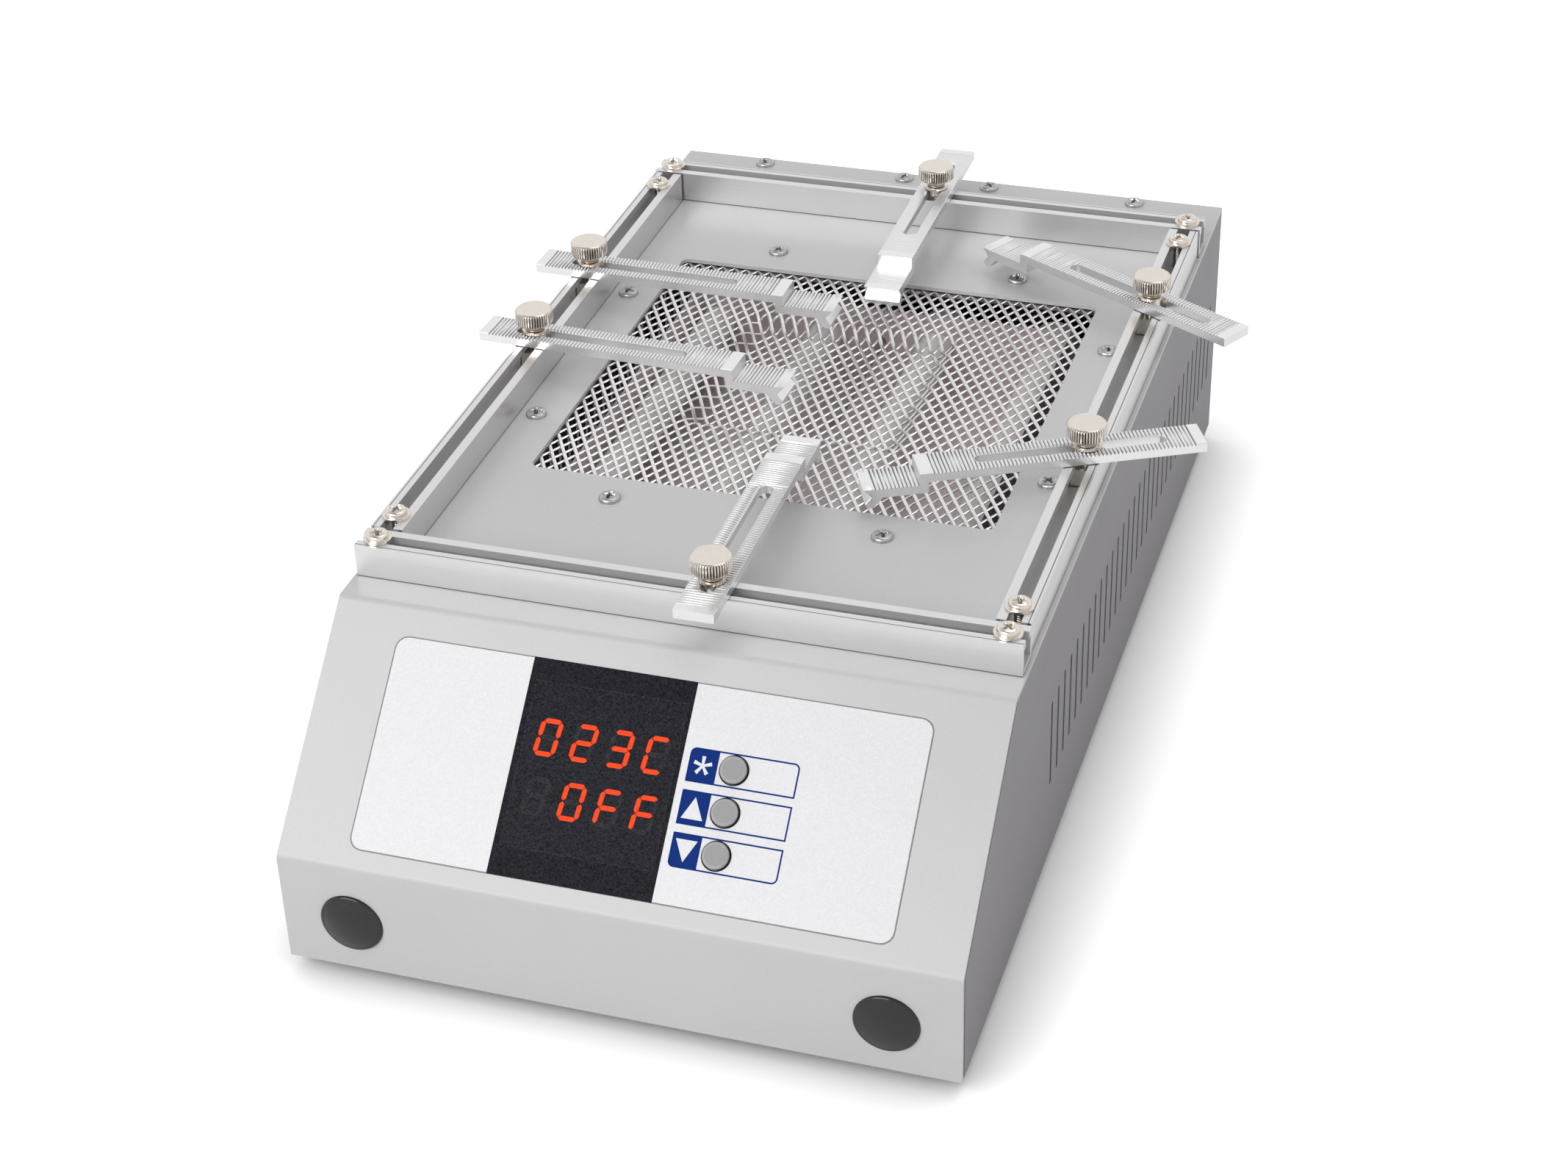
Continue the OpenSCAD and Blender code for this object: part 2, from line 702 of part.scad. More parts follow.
module rear_panel() {
    deep = tray_t + 2 * over;
    color("#4a484c")
        difference() {
            union() {
                translate([-inside_w / 2, yr - tray_t, floor_z])
                    cube([inside_w, tray_t, deck_in - floor_z]);
                translate([-inside_w / 2, yr - flange_l, deck_in - tray_t])
                    cube([inside_w, flange_l, tray_t]);
            }
            on_rear(inlet_x)
                translate([0, 0, -over]) {
                    linear_extrude(deep)
                        square([inlet_w + 2 * clear, inlet_h + 2 * clear], center = true);
                    at_inlet_ears()
                        cylinder(h = deep, d = screw_d + 2 * hole_gap);
                }
            on_rear(switch_x)
                translate([0, 0, -over])
                    linear_extrude(deep)
                        square([switch_w + 2 * clear, switch_h + 2 * clear], center = true);
            on_rear(fuse_x)
                translate([0, 0, -over])
                    cylinder(h = deep, d = fuse_d + 2 * hole_gap);
            at_each(strip_screws_at, deck_in - tray_t - over)
                cylinder(h = deep, d = screw_d + 2 * hole_gap);
        }
}

module cover_profile() {
    out_r = bend_r + sheet;
    c1 = lower_bend(out_r);
    c2 = upper_bend(out_r);
    polygon(concat(
        [[yf, foot_h]],
        arc(c1, out_r, 180, 90 + panel_a),
        arc(c2, out_r, 90 + panel_a, 90),
        [[yr, deck_z], [yr, deck_in]],
        arc(c2, bend_r, 90, 90 + panel_a),
        arc(c1, bend_r, 90 + panel_a, 180),
        [[yf + sheet, foot_h]]
    ));
}

module top_cover() {
    deep = sheet + 2 * over;
    color("#c9c8c8")
        difference() {
            along_x(body_w)
                cover_profile();
            translate([0, heater_y, deck_in - over])
                linear_extrude(deep)
                    round_rect(window_w, window_l, window_r);
            at_each(concat(deck_screws_at, strip_screws_at), deck_in - over)
                cylinder(h = deep, d = screw_d + 2 * hole_gap);
            at_each(rail_screws_at, deck_in - over)
                cylinder(h = deep, d = rail_screw_d + 2 * hole_gap);
            for (sx = [-1, 1])
                translate([sx * (body_w / 2 - plug_side), yf + sheet + over, foot_h + plug_z])
                    rotate([90, 0, 0])
                        cylinder(h = deep, d = plug_hole_d);
            on_panel() {
                translate([0, label_low + label_h / 2, -label_in])
                    linear_extrude(over)
                        round_rect(label_w + 2 * clear, label_h + 2 * clear, label_r);
                translate([lens_x, lens_s, -sheet - over])
                    linear_extrude(deep)
                        square([lens_w + 2 * clear, lens_h + 2 * clear], center = true);
                at_buttons(-sheet - over)
                    cylinder(h = deep, r = button_d / 2 + button_gap);
            }
        }
}

module rail_profile() {
    difference() {
        translate([-rail_w / 2, 0])
            square([rail_w, rail_h]);
        translate([-rail_w / 2 + rail_wall, rail_floor])
            square([rail_w - 2 * rail_wall, cavity_h]);
        translate([-rail_slot / 2, rail_floor + cavity_h / 2])
            square([rail_slot, rail_h]);
    }
}

// Rail of a length along x, turned by an angle about its middle
module rail(middle, l, angle) {
    color("#d9d9da")
        difference() {
            translate([middle[0], middle[1], deck_z])
                rotate(angle)
                    along_x(l)
                        rail_profile();
            at_each(rail_screws_at, deck_z - over)
                cylinder(h = rail_floor + 2 * over, d = rail_screw_d + 2 * hole_gap);
        }
}

module cross_rail(y) {
    rail([0, y], body_w - 2 * rail_end, 0);
}

module side_rail(x) {
    rail([x, (side_y0 + side_y1) / 2], side_y1 - side_y0, 90);
}

module rail_screws() {
    color("#cfc8bb")
        at_each(rail_screws_at, rail_top) {
            cylinder(h = rail_flange_t, d = rail_flange_d);
            translate([0, 0, rail_flange_t])
                pan_screw(rail_screw_d, rail_flange_t + rail_h + sheet + screw_end);
        }
}

module panel_screws() {
    color("#c4bdb0") {
        at_each(deck_screws_at, deck_z)
            pan_screw(screw_d, sheet + mesh_t + frame_t + screw_end);
        at_each(strip_screws_at, deck_z)
            pan_screw(screw_d, sheet + tray_t + screw_end);
        on_rear(inlet_x)
            at_inlet_ears()
                translate([0, 0, -bezel_t])
                    mirror([0, 0, 1])
                        pan_screw(screw_d, bezel_t + tray_t + screw_end);
    }
}

module front_plugs() {
    stem_r = plug_hole_d / 2 - hole_gap;
    color("#161616")
        for (sx = [-1, 1])
            translate([sx * (body_w / 2 - plug_side), yf, foot_h + plug_z])
                rotate([90, 0, 0])
                    rotate_extrude() {
                        dome_half(plug_d, plug_dome);
                        translate([0, -sheet - clear - plug_barb])
                            square([stem_r, sheet + clear + plug_barb]);
                        translate([0, -sheet - clear - plug_barb])
                            square([stem_r + 0.6, plug_barb]);
                    }
}

module rubber_feet() {
    color("#1b1b1b")
        at_corners(body_w - 2 * foot_in, body_l - 2 * foot_in) {
            cylinder(h = foot_h, d1 = foot_d - foot_taper, d2 = foot_d);
            cylinder(h = floor_z + foot_stem_h, d = foot_stem_d);
            translate([0, 0, floor_z])
                cylinder(h = foot_stem_h, d1 = foot_stem_d + foot_taper, d2 = foot_stem_d);
        }
}

module heater_mesh() {
    nx = floor((mesh_w - 2 * mesh_strand) / mesh_cell_w);
    ny = floor((mesh_l - 2 * mesh_strand) / mesh_cell_l);
    flat = norm([mesh_cell_w, mesh_cell_l]);
    ox = mesh_cell_w / 2 - mesh_strand / 2 * flat / mesh_cell_l;
    oy = mesh_cell_l / 2 - mesh_strand / 2 * flat / mesh_cell_w;
    cells = [
        for (j = [0:2 * ny - 2])
            for (i = [0:nx - 1 - j % 2])
                [(i + (1 + j % 2 - nx) / 2) * mesh_cell_w, (j + 1 - ny) / 2 * mesh_cell_l]
    ];
    rim = [[-mesh_w, -mesh_l], [mesh_w, -mesh_l], [mesh_w, mesh_l], [-mesh_w, mesh_l]] / 2;
    corners = [for (c = cells) for (d = [[-ox, 0], [0, oy], [ox, 0], [0, -oy]]) c + d];
    holes = [for (k = [1:len(cells)]) [for (m = [0:3]) 4 * k + m]];
    color("#dcdcdd")
        translate([0, heater_y, deck_in - mesh_t])
            linear_extrude(mesh_t)
                polygon(concat(rim, corners), concat([[0, 1, 2, 3]], holes));
}

module mesh_frame() {
    color("#b9babc")
        difference() {
            translate([0, heater_y, deck_in - mesh_t - frame_t])
                difference() {
                    linear_extrude(mesh_t + frame_t)
                        difference() {
                            square([frame_w, frame_l], center = true);
                            round_rect(window_w + 2 * frame_gap, window_l + 2 * frame_gap, window_r);
                        }
                    translate([0, 0, frame_t])
                        linear_extrude(mesh_t + over)
                            square([mesh_w + 2 * clear, mesh_l + 2 * clear], center = true);
                }
            at_each(deck_screws_at, deck_in - mesh_t - frame_t - over)
                cylinder(h = mesh_t + frame_t + 2 * over, d = screw_d + 2 * hole_gap);
        }
}

// Open box on two legs, drilled for the tubes and the thermocouple
module reflector_tray() {
    color("#c3c2be")
        translate([0, heater_y, 0])
            difference() {
                union() {
                    difference() {
                        translate([-tray_w / 2, -tray_l / 2, tray_floor])
                            cube([tray_w, tray_l, tray_deep]);
                        translate([tray_sheet - tray_w / 2, tray_sheet - tray_l / 2, tray_floor + tray_sheet])
                            cube([tray_w - 2 * tray_sheet, tray_l - 2 * tray_sheet, tray_deep]);
                    }
                    for (sy = [0, 1])
                        mirror([0, sy, 0]) {
                            translate([-leg_w / 2, tray_l / 2 - leg_foot, floor_z])
                                cube([leg_w, tray_t, tray_floor - floor_z]);
                            translate([-leg_w / 2, tray_l / 2 - 2 * leg_foot, floor_z])
                                cube([leg_w, leg_foot, tray_t]);
                        }
                }
                for (x = tube_xs)
                    translate([x, tray_l / 2 + over, tube_z])
                        rotate([90, 0, 0])
                            cylinder(h = tray_l + 2 * over, d = tube_d + 2 * hole_gap);
                translate([probe_x, tray_l / 2 + over, tube_z])
                    rotate([90, 0, 0])
                        cylinder(h = tray_sheet + 2 * over, d = probe_d + 2 * hole_gap);
            }
}

module quartz_tubes() {
    color("#f0efe9")
        for (x = tube_xs)
            translate([x, heater_y + tube_half, tube_z])
                rotate([90, 0, 0])
                    difference() {
                        cylinder(h = 2 * tube_half, d = tube_d);
                        translate([0, 0, -over])
                            cylinder(h = 2 * tube_half + 2 * over, d = tube_d - 2 * tube_wall);
                    }
}

// Hollow envelope of each coil, closed at its ends, with a straight tail at each end
module heating_coils() {
    half = tray_l / 2;
    tail = bus_y - lead_d / 2 - half;
    color("#8c7f70")
        for (x = tube_xs)
            translate([x, heater_y, tube_z])
                rotate([90, 0, 0])
                    rotate_extrude() {
                        translate([coil_r - lead_d / 2, -half])
                            square([lead_d / 2, 2 * half]);
                        for (y = [-half, half - lead_d])
                            translate([0, y])
                                square([coil_r, lead_d]);
                        for (y = [-half - tail, half])
                            translate([0, y])
                                square([lead_d / 2, tail]);
                    }
}

module tube_end_caps() {
    color("#efece2")
        for (sy = [-1, 1])
            for (x = tube_xs)
                translate([x, heater_y + sy * tray_l / 2, tube_z])
                    rotate([-sy * 90, 0, 0])
                        difference() {
                            cylinder(h = cap_l, r = cap_r);
                            translate([0, 0, -over])
                                cylinder(h = cap_l - cap_wall + over, d = tube_d + 2 * hole_gap);
                            cylinder(h = cap_l + over, d = lead_d + 2 * hole_gap);
                        }
}

// Sheath through the tray's rear wall, held there by a six-sided gland nut
module thermocouple() {
    color("#b8b4ac")
        translate([probe_x, heater_y + tray_l / 2, tube_z])
            rotate([90, 0, 0]) {
                translate([0, 0, -cap_l])
                    cylinder(h = probe_l + cap_l, d = probe_d);
                translate([0, 0, -gland_d])
                    cylinder(h = gland_d, d = gland_d, $fn = 6);
            }
}

// Bus wire across the coil tails, bent down beside the tray and forward to the power board
module heater_lead(sy, lift, x, end_y) {
    bend = 4;
    y = heater_y + sy * bus_y;
    z = power_top + lift;
    swept([
        [tube_xs[tube_count - 1] + lead_d, y, tube_z], [bend - x, y, tube_z],
        [bend / 4 - x, y, tube_z - bend / 4], [-x, y, tube_z - bend],
        [-x, y, z + bend], [-x, y - bend / 4, z + bend / 4], [-x, y - bend, z],
        [-x, end_y + bend, z], [-x, end_y + bend / 4, z - bend / 4], [-x, end_y, z - bend],
        [-x, end_y, power_top]
    ], lead_d / 2);
}

module heater_leads() {
    spread = 4;
    color("#d8d2c6") {
        heater_lead(-1, 16, bus_x, bay_y - spread);
        heater_lead(1, 16, bus_x + spread, bay_y + spread);
    }
}

module at_buttons(n) {
    for (row = [-1, 0, 1])
        translate([button_x, button_s + row * button_pitch, n])
            children();
}

module panel_label() {
    color("#e4e4e6")
        on_panel()
            translate([0, 0, -label_in])
                linear_extrude(label_t)
                    difference() {
                        translate([0, label_low + label_h / 2])
                            round_rect(label_w, label_h, label_r);
                        translate([lens_x, lens_s])
                            square([lens_w + 2 * clear, lens_h + 2 * clear], center = true);
                        at_buttons(0)
                            circle(button_d / 2 + 3 * clear);
                    }
}

// Window flush with the label, with a flange that bears on the cover's inside
module display_lens() {
    color("#17181a")
        on_panel()
            translate([lens_x, lens_s, -sheet]) {
                linear_extrude(sheet + label_t - label_in)
                    square([lens_w, lens_h], center = true);
                translate([0, 0, -lens_flange])
                    linear_extrude(lens_flange)
                        square([lens_w + 2 * lens_flange, lens_h + 2 * lens_flange], center = true);
            }
}

module led_displays() {
    led_n = -sheet - lens_flange - clear;
    color("#2a2422")
        on_panel()
            for (sy = [-1, 1])
                translate([lens_x, lens_s + sy * row_pitch / 2, board_n])
                    linear_extrude(led_n - board_n)
                        square([led_w, led_h], center = true);
}

module drilled_board(w, l) {
    color("#1f6a3c")
        linear_extrude(board_t)
            difference() {
                square([w, l], center = true);
                at_corners(w - 2 * post_in, l - 2 * post_in)
                    circle(pin_r + hole_gap);
            }
}

module control_board() {
    on_panel()
        translate([board_x, board_s, board_n - board_t])
            drilled_board(board_w, board_h);
}

module tact_switches() {
    color("#2b2b2d")
        on_panel()
            at_buttons(board_n) {
                linear_extrude(tact_h)
                    square(tact_w, center = true);
                cylinder(h = plunger_h, d = stem_d);
            }
}

// Post that stands on z = 0, with a pin and a snap head for a board at a height
module board_post(l) {
    cylinder(h = l, r = post_r);
    cylinder(h = l + board_t + pin_r, r = pin_r);
    translate([0, 0, l + board_t])
        cylinder(h = pin_r, r1 = pin_r * 1.5, r2 = pin_r);
}

module board_posts() {
    color("#d8d6cc") {
        on_panel()
            translate([board_x, board_s, -sheet])
                at_corners(board_w - 2 * post_in, board_h - 2 * post_in)
                    mirror([0, 0, 1])
                        board_post(board_gap);
        translate([power_x, bay_y, floor_z])
            at_corners(power_w - 2 * post_in, power_l - 2 * post_in)
                board_post(power_gap);
    }
}

// Cap through the cover, flange behind it and stem down to its tact switch
module button(row) {
    flange_n = -sheet - clear / 2;
    top_n = label_t - label_in + button_h;
    stem_n = tact_n + button_travel + clear;
    color("#a9abad")
        on_panel()
            translate([button_x, button_s + row * button_pitch, 0]) {
                translate([0, 0, flange_n])
                    cylinder(h = top_n - button_bevel - flange_n, d = button_d);
                translate([0, 0, top_n - button_bevel])
                    cylinder(h = button_bevel, d1 = button_d, d2 = button_d - 2 * button_bevel);
                translate([0, 0, flange_n - button_flange])
                    cylinder(h = button_flange, d = button_d + 2 * button_flange);
                translate([0, 0, stem_n])
                    cylinder(h = flange_n - stem_n, d = stem_d);
            }
}

module power_board() {
    translate([power_x, bay_y, power_z])
        drilled_board(power_w, power_l);
}

// Finned heatsink that stands on the power board, with the triac on its flat back
module triac_heatsink() {
    wide = (fin_count - 1) * fin_pitch + fin_t;
    translate([power_x - wide / 2, bay_y, power_top]) {
        color("#26272a")
            linear_extrude(sink_h) {
                square([wide, fin_t]);
                for (i = [0:fin_count - 1])
                    translate([i * fin_pitch, 0])
                        square([fin_t, sink_l]);
            }
        color("#1d1d1f")
            translate([(wide - triac_w) / 2, -triac_t, triac_leg])
                cube([triac_w, triac_t, triac_h]);
        color("#b8b8ba")
            for (i = [-1, 0, 1])
                translate([wide / 2 + i * triac_w / 4, -triac_t / 2, triac_leg / 2])
                    cube([triac_t / 5, triac_t / 5, triac_leg], center = true);
    }
}

// Core with its winding, on two mounting ears
module transformer() {
    color("#5a4a3a")
        translate([body_w / 2 - trafo_side - trafo_w / 2, bay_y, floor_z]) {
            linear_extrude(trafo_h)
                square([trafo_w, trafo_l], center = true);
            translate([0, 0, (trafo_h - coil_h) / 2])
                linear_extrude(coil_h)
                    square([coil_w, trafo_l + 2 * coil_out], center = true);
            linear_extrude(trafo_ear_t)
                square([trafo_w, trafo_l + 2 * trafo_ear], center = true);
        }
}

// Flat cable from the control board's underside down to the power board
module ribbon_cable() {
    along = [cos(panel_a), sin(panel_a)];
    down = [sin(panel_a), -cos(panel_a)];
    start = panel_point(board_s - board_h / 4, board_n - board_t);
    bend = start + ribbon_end * down;
    end_y = bay_y - power_l / 2 + 2 * post_in;
    color("#b9b6b0")
        translate([power_x + ribbon_w, 0, 0])
            along_x(ribbon_w)
                polygon([
                    start,
                    bend,
                    [end_y, power_top + ribbon_end],
                    [end_y, power_top],
                    [end_y + ribbon_t, power_top],
                    [end_y + ribbon_t, power_top + ribbon_end + ribbon_t],
                    bend + ribbon_t * along + ribbon_t * [0, 1],
                    start + ribbon_t * along
                ]);
}

module at_inlet_ears() {
    for (sx = [-1, 1])
        translate([sx * (inlet_w + ear_w) / 2, 0, 0])
            children();
}

// Appliance inlet: a socket with three blades, held by two ears outside the rear panel
module mains_inlet() {
    blades = [[-blade_pitch, -blade_rise], [0, blade_rise], [blade_pitch, -blade_rise]];
    color("#1c1c1e")
        on_rear(inlet_x)
            difference() {
                union() {
                    linear_extrude(inlet_l)
                        square([inlet_w, inlet_h], center = true);
                    translate([0, 0, -bezel_t])
                        linear_extrude(bezel_t)
                            round_rect(inlet_w + 2 * ear_w, inlet_h + 2 * bezel_w, 2 * bezel_w);
                }
                difference() {
                    translate([0, 0, -bezel_t - over])
                        linear_extrude(inlet_l - inlet_wall + bezel_t + over)
                            round_rect(inlet_w - 2 * inlet_wall, inlet_h - 2 * inlet_wall, inlet_wall);
                    for (p = blades)
                        translate([p[0], p[1], bezel_t])
                            linear_extrude(inlet_l)
                                square([blade_t, blade_h], center = true);
                }
                at_inlet_ears()
                    translate([0, 0, -bezel_t - over])
                        cylinder(h = bezel_t + 2 * over, d = screw_d + 2 * hole_gap);
            }
}

module fuse_holder() {
    color("#1c1c1e")
        on_rear(fuse_x) {
            cylinder(h = fuse_l, d = fuse_d);
            translate([0, 0, -bezel_t])
                cylinder(h = bezel_t, d = fuse_d + 2 * bezel_w);
            translate([0, 0, -bezel_t - fuse_cap])
                cylinder(h = fuse_cap, d = fuse_d);
            translate([0, 0, tray_t])
                cylinder(h = fuse_nut, d = fuse_d + 3 * bezel_w, $fn = 6);
        }
}

module switch_housing() {
    hollow_w = switch_w - 2 * switch_wall;
    color("#1c1c1e")
        on_rear(switch_x)
            difference() {
                union() {
                    linear_extrude(switch_l)
                        square([switch_w, switch_h], center = true);
                    translate([0, 0, -bezel_t])
                        linear_extrude(bezel_t)
                            round_rect(switch_w + 2 * bezel_w, switch_h + 2 * bezel_w, bezel_w);
                }
                translate([0, 0, -bezel_t - over])
                    linear_extrude(switch_l - switch_wall + bezel_t + over)
                        square([hollow_w, switch_h - 2 * switch_wall], center = true);
                translate([0, 0, rocker_n])
                    rotate([0, 90, 0])
                        cylinder(h = hollow_w + 2 * trunnion_l, r = trunnion_r + clear / 2, center = true);
            }
}

// Shallow V-shaped rocker that turns on two trunnions, shown at one end of its travel
module switch_rocker() {
    dip = 1.8;
    hub = trunnion_r + clear;
    color("#2a0f0d")
        on_rear(switch_x)
            translate([0, 0, rocker_n])
                rotate([-rocker_tilt, 0, 0]) {
                    along_x(rocker_w)
                        polygon([
                            [-rocker_reach, -rocker_n - dip], [0, -rocker_n], [rocker_reach, -rocker_n - dip],
                            [rocker_reach - dip, 0], [hub, 2 * hub], [-hub, 2 * hub], [dip - rocker_reach, 0]
                        ]);
                    rotate([0, 90, 0])
                        cylinder(h = rocker_w + 2 * trunnion_l, r = trunnion_r, center = true);
                }
}

// Side view of an arm: x runs from the outer end to the tip, y up from the bar's underside
module arm_profile() {
    top = arm_t - arm_step;
    low = top - tip_t;
    heel = arm_bar - riser_l;
    polygon([
        [0, 0], [heel, 0], [heel, low], [arm_l - tongue_l, low],
        [arm_l - tongue_l / 2, low - tongue_h], [arm_l - tongue_l / 5, low - tongue_h],
        [arm_l - tongue_l / 12, low - tongue_h / 2], [arm_l - notch, low + tip_t / 6],
        [arm_l, top], [arm_bar, top], [arm_bar, arm_t], [0, arm_t]
    ]);
}

module arm(c) {
    color("#d4d5d6")
        translate([c[1][0], c[1][1], arm_z])
            rotate(c[2])
                translate([-c[3], 0, 0])
                    difference() {
                        translate([0, arm_w / 2, 0])
                            rotate([90, 0, 0])
                                linear_extrude(arm_w)
                                    arm_profile();
                        translate([(slot_start + slot_end) / 2, 0, -over])
                            linear_extrude(arm_t + 2 * over)
                                slot_shape(slot_end - slot_start, arm_slot);
                    }
}

// Washer on the arm's top, with a key that runs in the arm's slot
module washer(c) {
    color("#c9c4ba")
        translate([c[1][0], c[1][1], washer_z])
            rotate(c[2])
                difference() {
                    union() {
                        cylinder(h = washer_t, d = washer_d);
                        translate([0, 0, -slide_gap - key_h])
                            linear_extrude(key_h + slide_gap + washer_t / 2)
                                slot_shape(key_l, arm_slot - 2 * slide_gap);
                    }
                    translate([0, 0, -arm_t])
                        cylinder(h = 2 * arm_t, r = thread_d / 2 + 2 * thread_gap);
                }
}

module thumb_screw(c) {
    thread_r = thread_d / 2;
    collar_r = collar_d / 2;
    knob_r = knob_d / 2;
    top = collar_h + knob_h;
    color("#cdc6b9")
        translate([c[1][0], c[1][1], knob_z])
            rotate_extrude()
                polygon([
                    [0, -thread_l], [thread_r, -thread_l], [thread_r, 0], [collar_r - collar_taper / 2, 0],
                    [collar_r, collar_h / 2], [collar_r, collar_h], [knob_r, collar_h],
                    [knob_r, top - knob_bevel], [knob_r - knob_bevel, top], [0, top]
                ]);
}

module nut(c) {
    color("#b9b3a8")
        translate([c[1][0], c[1][1], nut_z])
            rotate(c[4])
                linear_extrude(nut_h)
                    difference() {
                        square([nut_l, nut_w], center = true);
                        circle(thread_d / 2 + thread_gap);
                    }
}

base_tray();
rear_panel();
top_cover();
cross_rail(rail_yf);  // front_rail
cross_rail(rail_yr);  // rear_rail
side_rail(-rail_x);  // left_rail
side_rail(rail_x);  // right_rail
rail_screws();
panel_screws();
front_plugs();
rubber_feet();
heater_mesh();
mesh_frame();
reflector_tray();
quartz_tubes();
heating_coils();
tube_end_caps();
thermocouple();
heater_leads();
panel_label();
display_lens();
led_displays();
control_board();
tact_switches();
board_posts();
button(1);  // select_button
button(0);  // up_button
button(-1);  // down_button
power_board();
triac_heatsink();
transformer();
ribbon_cable();
mains_inlet();
fuse_holder();
switch_housing();
switch_rocker();
for (c = clamps) {
    arm(c);
    washer(c);
    thumb_screw(c);
    nut(c);
}
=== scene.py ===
"""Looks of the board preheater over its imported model. Sizes are in millimetres until a mesh is made."""
import json
import math

import bmesh
import bpy
import numpy as np
from mathutils import Matrix, Vector


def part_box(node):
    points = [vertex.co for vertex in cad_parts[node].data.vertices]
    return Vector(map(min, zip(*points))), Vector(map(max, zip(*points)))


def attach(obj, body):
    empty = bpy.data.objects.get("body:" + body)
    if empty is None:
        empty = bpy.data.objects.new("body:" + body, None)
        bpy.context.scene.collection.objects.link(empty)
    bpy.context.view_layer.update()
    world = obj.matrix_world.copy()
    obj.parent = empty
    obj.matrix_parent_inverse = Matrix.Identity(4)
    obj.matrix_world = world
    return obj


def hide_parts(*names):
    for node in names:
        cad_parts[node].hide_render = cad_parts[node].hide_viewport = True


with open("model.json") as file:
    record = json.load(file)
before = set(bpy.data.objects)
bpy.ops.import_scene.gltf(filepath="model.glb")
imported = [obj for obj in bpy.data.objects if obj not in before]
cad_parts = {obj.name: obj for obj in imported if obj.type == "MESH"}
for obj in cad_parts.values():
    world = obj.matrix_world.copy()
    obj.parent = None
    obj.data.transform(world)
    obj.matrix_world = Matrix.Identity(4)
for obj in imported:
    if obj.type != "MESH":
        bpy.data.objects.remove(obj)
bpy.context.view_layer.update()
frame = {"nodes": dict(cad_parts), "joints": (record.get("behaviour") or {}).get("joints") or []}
CLAMPS = [name[len("arm_"):] for name in frame["nodes"] if name.startswith("arm_")]
MM = 0.001
WELD = 1e-7
EMPTY = 1e-8

# Angles in degrees over which an edge is sharp
ARM_SHARP = 32
KNOB_SHARP = 28
SCREW_SHARP = 35
PLUG_SHARP = 40
KEY_SHARP = 20
MESH_SHARP = 35
PRINT_SHARP = 30

# Camera
CAMERA_AT = (0.2227, -0.6949, 0.5062)
CAMERA_AZIMUTH = 18.29
CAMERA_ELEVATION = 33.13
CAMERA_ROLL = -1.79
CAMERA_LENS = 66.36
SENSOR_WIDTH = 36.0
CAMERA_CLIP = (0.01, 50)

# Light and floor, in metres and watts
ROOM_LIGHT = 0.42
CEILING_LEVEL = 0.3
CEILING_FROM = 0.6
CEILING_TO = 0.95
FLOOR_HALF = 4.0
FLOOR_GLOW = 0.6
FLOOR_MIRRORED = 0.4
FLOOR_GRAIN = 40.0
FLOOR_TONES = (0.91, 0.93)
# Reach and power of the painted contact shadow: the floor's glow fades near the object
SHADE_REACH = 0.03
SHADE_POWER = 2.0
LAMP_AIM = (0, 0, 0.06)
LAMPS = {
    # name: place, size, power
    "front_box": ((-0.6, -1.3, 1.05), (1.2, 1.0), 14),
    "top_box": ((0.3, 0.3, 1.5), (1.4, 1.0), 5),
}

# Clamp arms: lengths run from the outer end, heights from the bar's underside
ARM_LENGTH = 97.0
ARM_WIDTH = 11.2
BAR_LENGTH = 81.2
BAR_THICK = 2.8
BAR_STEP = 3.2
RISER_LENGTH = 2.6
TIP_THICK = 3.0
TONGUE_DROP = 3.0
TONGUE_LENGTH = 5.4
TIP_NOTCH = 2.2
SLOT_FROM = 10.3
SLOT_TO = 64.7
SLOT_WIDTH = 4.0
SLOT_BEVEL = 0.5
BEND_POINTS = 12
RIB_PITCH = 1.1
RIB_DEPTH = 0.45
RIB_POWER = 0.7
RIB_STEPS = 6
FAINT_RIB_DEPTH = 0.08
FAINT_ARM = "back"
SMOOTH_LIP = 3.3
ARM_CHAMFER = 0.12

# Thumb screws
KNOB_RADIUS = 5.7
KNOB_HEIGHT = 4.4
COLLAR_RADIUS = 3.5
COLLAR_FOOT = 2.9
COLLAR_HEIGHT = 2.2
COLLAR_NIP = 0.15
COLLAR_FLARE = ((0.1, 0.62), (0.0, 0.8), (0.0, 1.0))  # inset from the radius, share of the height
THREAD_RADIUS = 1.5
THREAD_NIP = 0.3
KNOB_DISH = 0.03
# Inset from the knob's radius, distance from its underside or top, share of the knurl's depth, which also
# sets the painted shade in the knurl's grooves
KNOB_FOOT_EDGE = ((0.75, 0.0, 0), (0.45, 0.12, 0), (0.05, 0.5, 1), (0.0, 0.6, 1))
KNOB_TOP_EDGE = ((0.0, 0.62, 1), (0.05, 0.52, 1), (0.42, 0.14, 0), (0.62, 0.0, 0))
KNURL_TEETH = 44
KNURL_DEPTH = 0.45
TOOTH_STEPS = 6
TOOTH_CREST = 0.5

# Screws
HEAD_RADIUS = 3.1
HEAD_HEIGHT = 1.6
CROWN_REACH = 0.72
CROWN_FALL = 0.34
CROWN_ROWS = 18
RIM_FOOT = 0.25
RIM_ROWS = 6
FLANGE_RADIUS = 3.9
FLANGE_THICK = 0.8
FLANGE_EDGE = 0.15
FLANGE_NIP = 0.1
SHANK_RADIUS = 1.5
DECK_SHANK = 4.0
PLAIN_STEPS = 2.001  # just over 2, so that the last row is inside the shank
THREAD_DEPTH = 0.35
THREAD_PITCH = 0.7
THREAD_STEPS = 6
SCREW_SIDES = 56
RECESS_LENGTH = 3.5
RECESS_WIDTH = 0.9
RECESS_DEPTH = 1.25
RECESS_SOFT = 0.35
RECESS_RISE = 0.45
RAIL_TURN_FIRST = 0.5
RAIL_TURN_STEP = 0.9
DECK_TURN_FIRST = 0.3
DECK_TURN_STEP = 1.1
EAR_TURN = 0.4
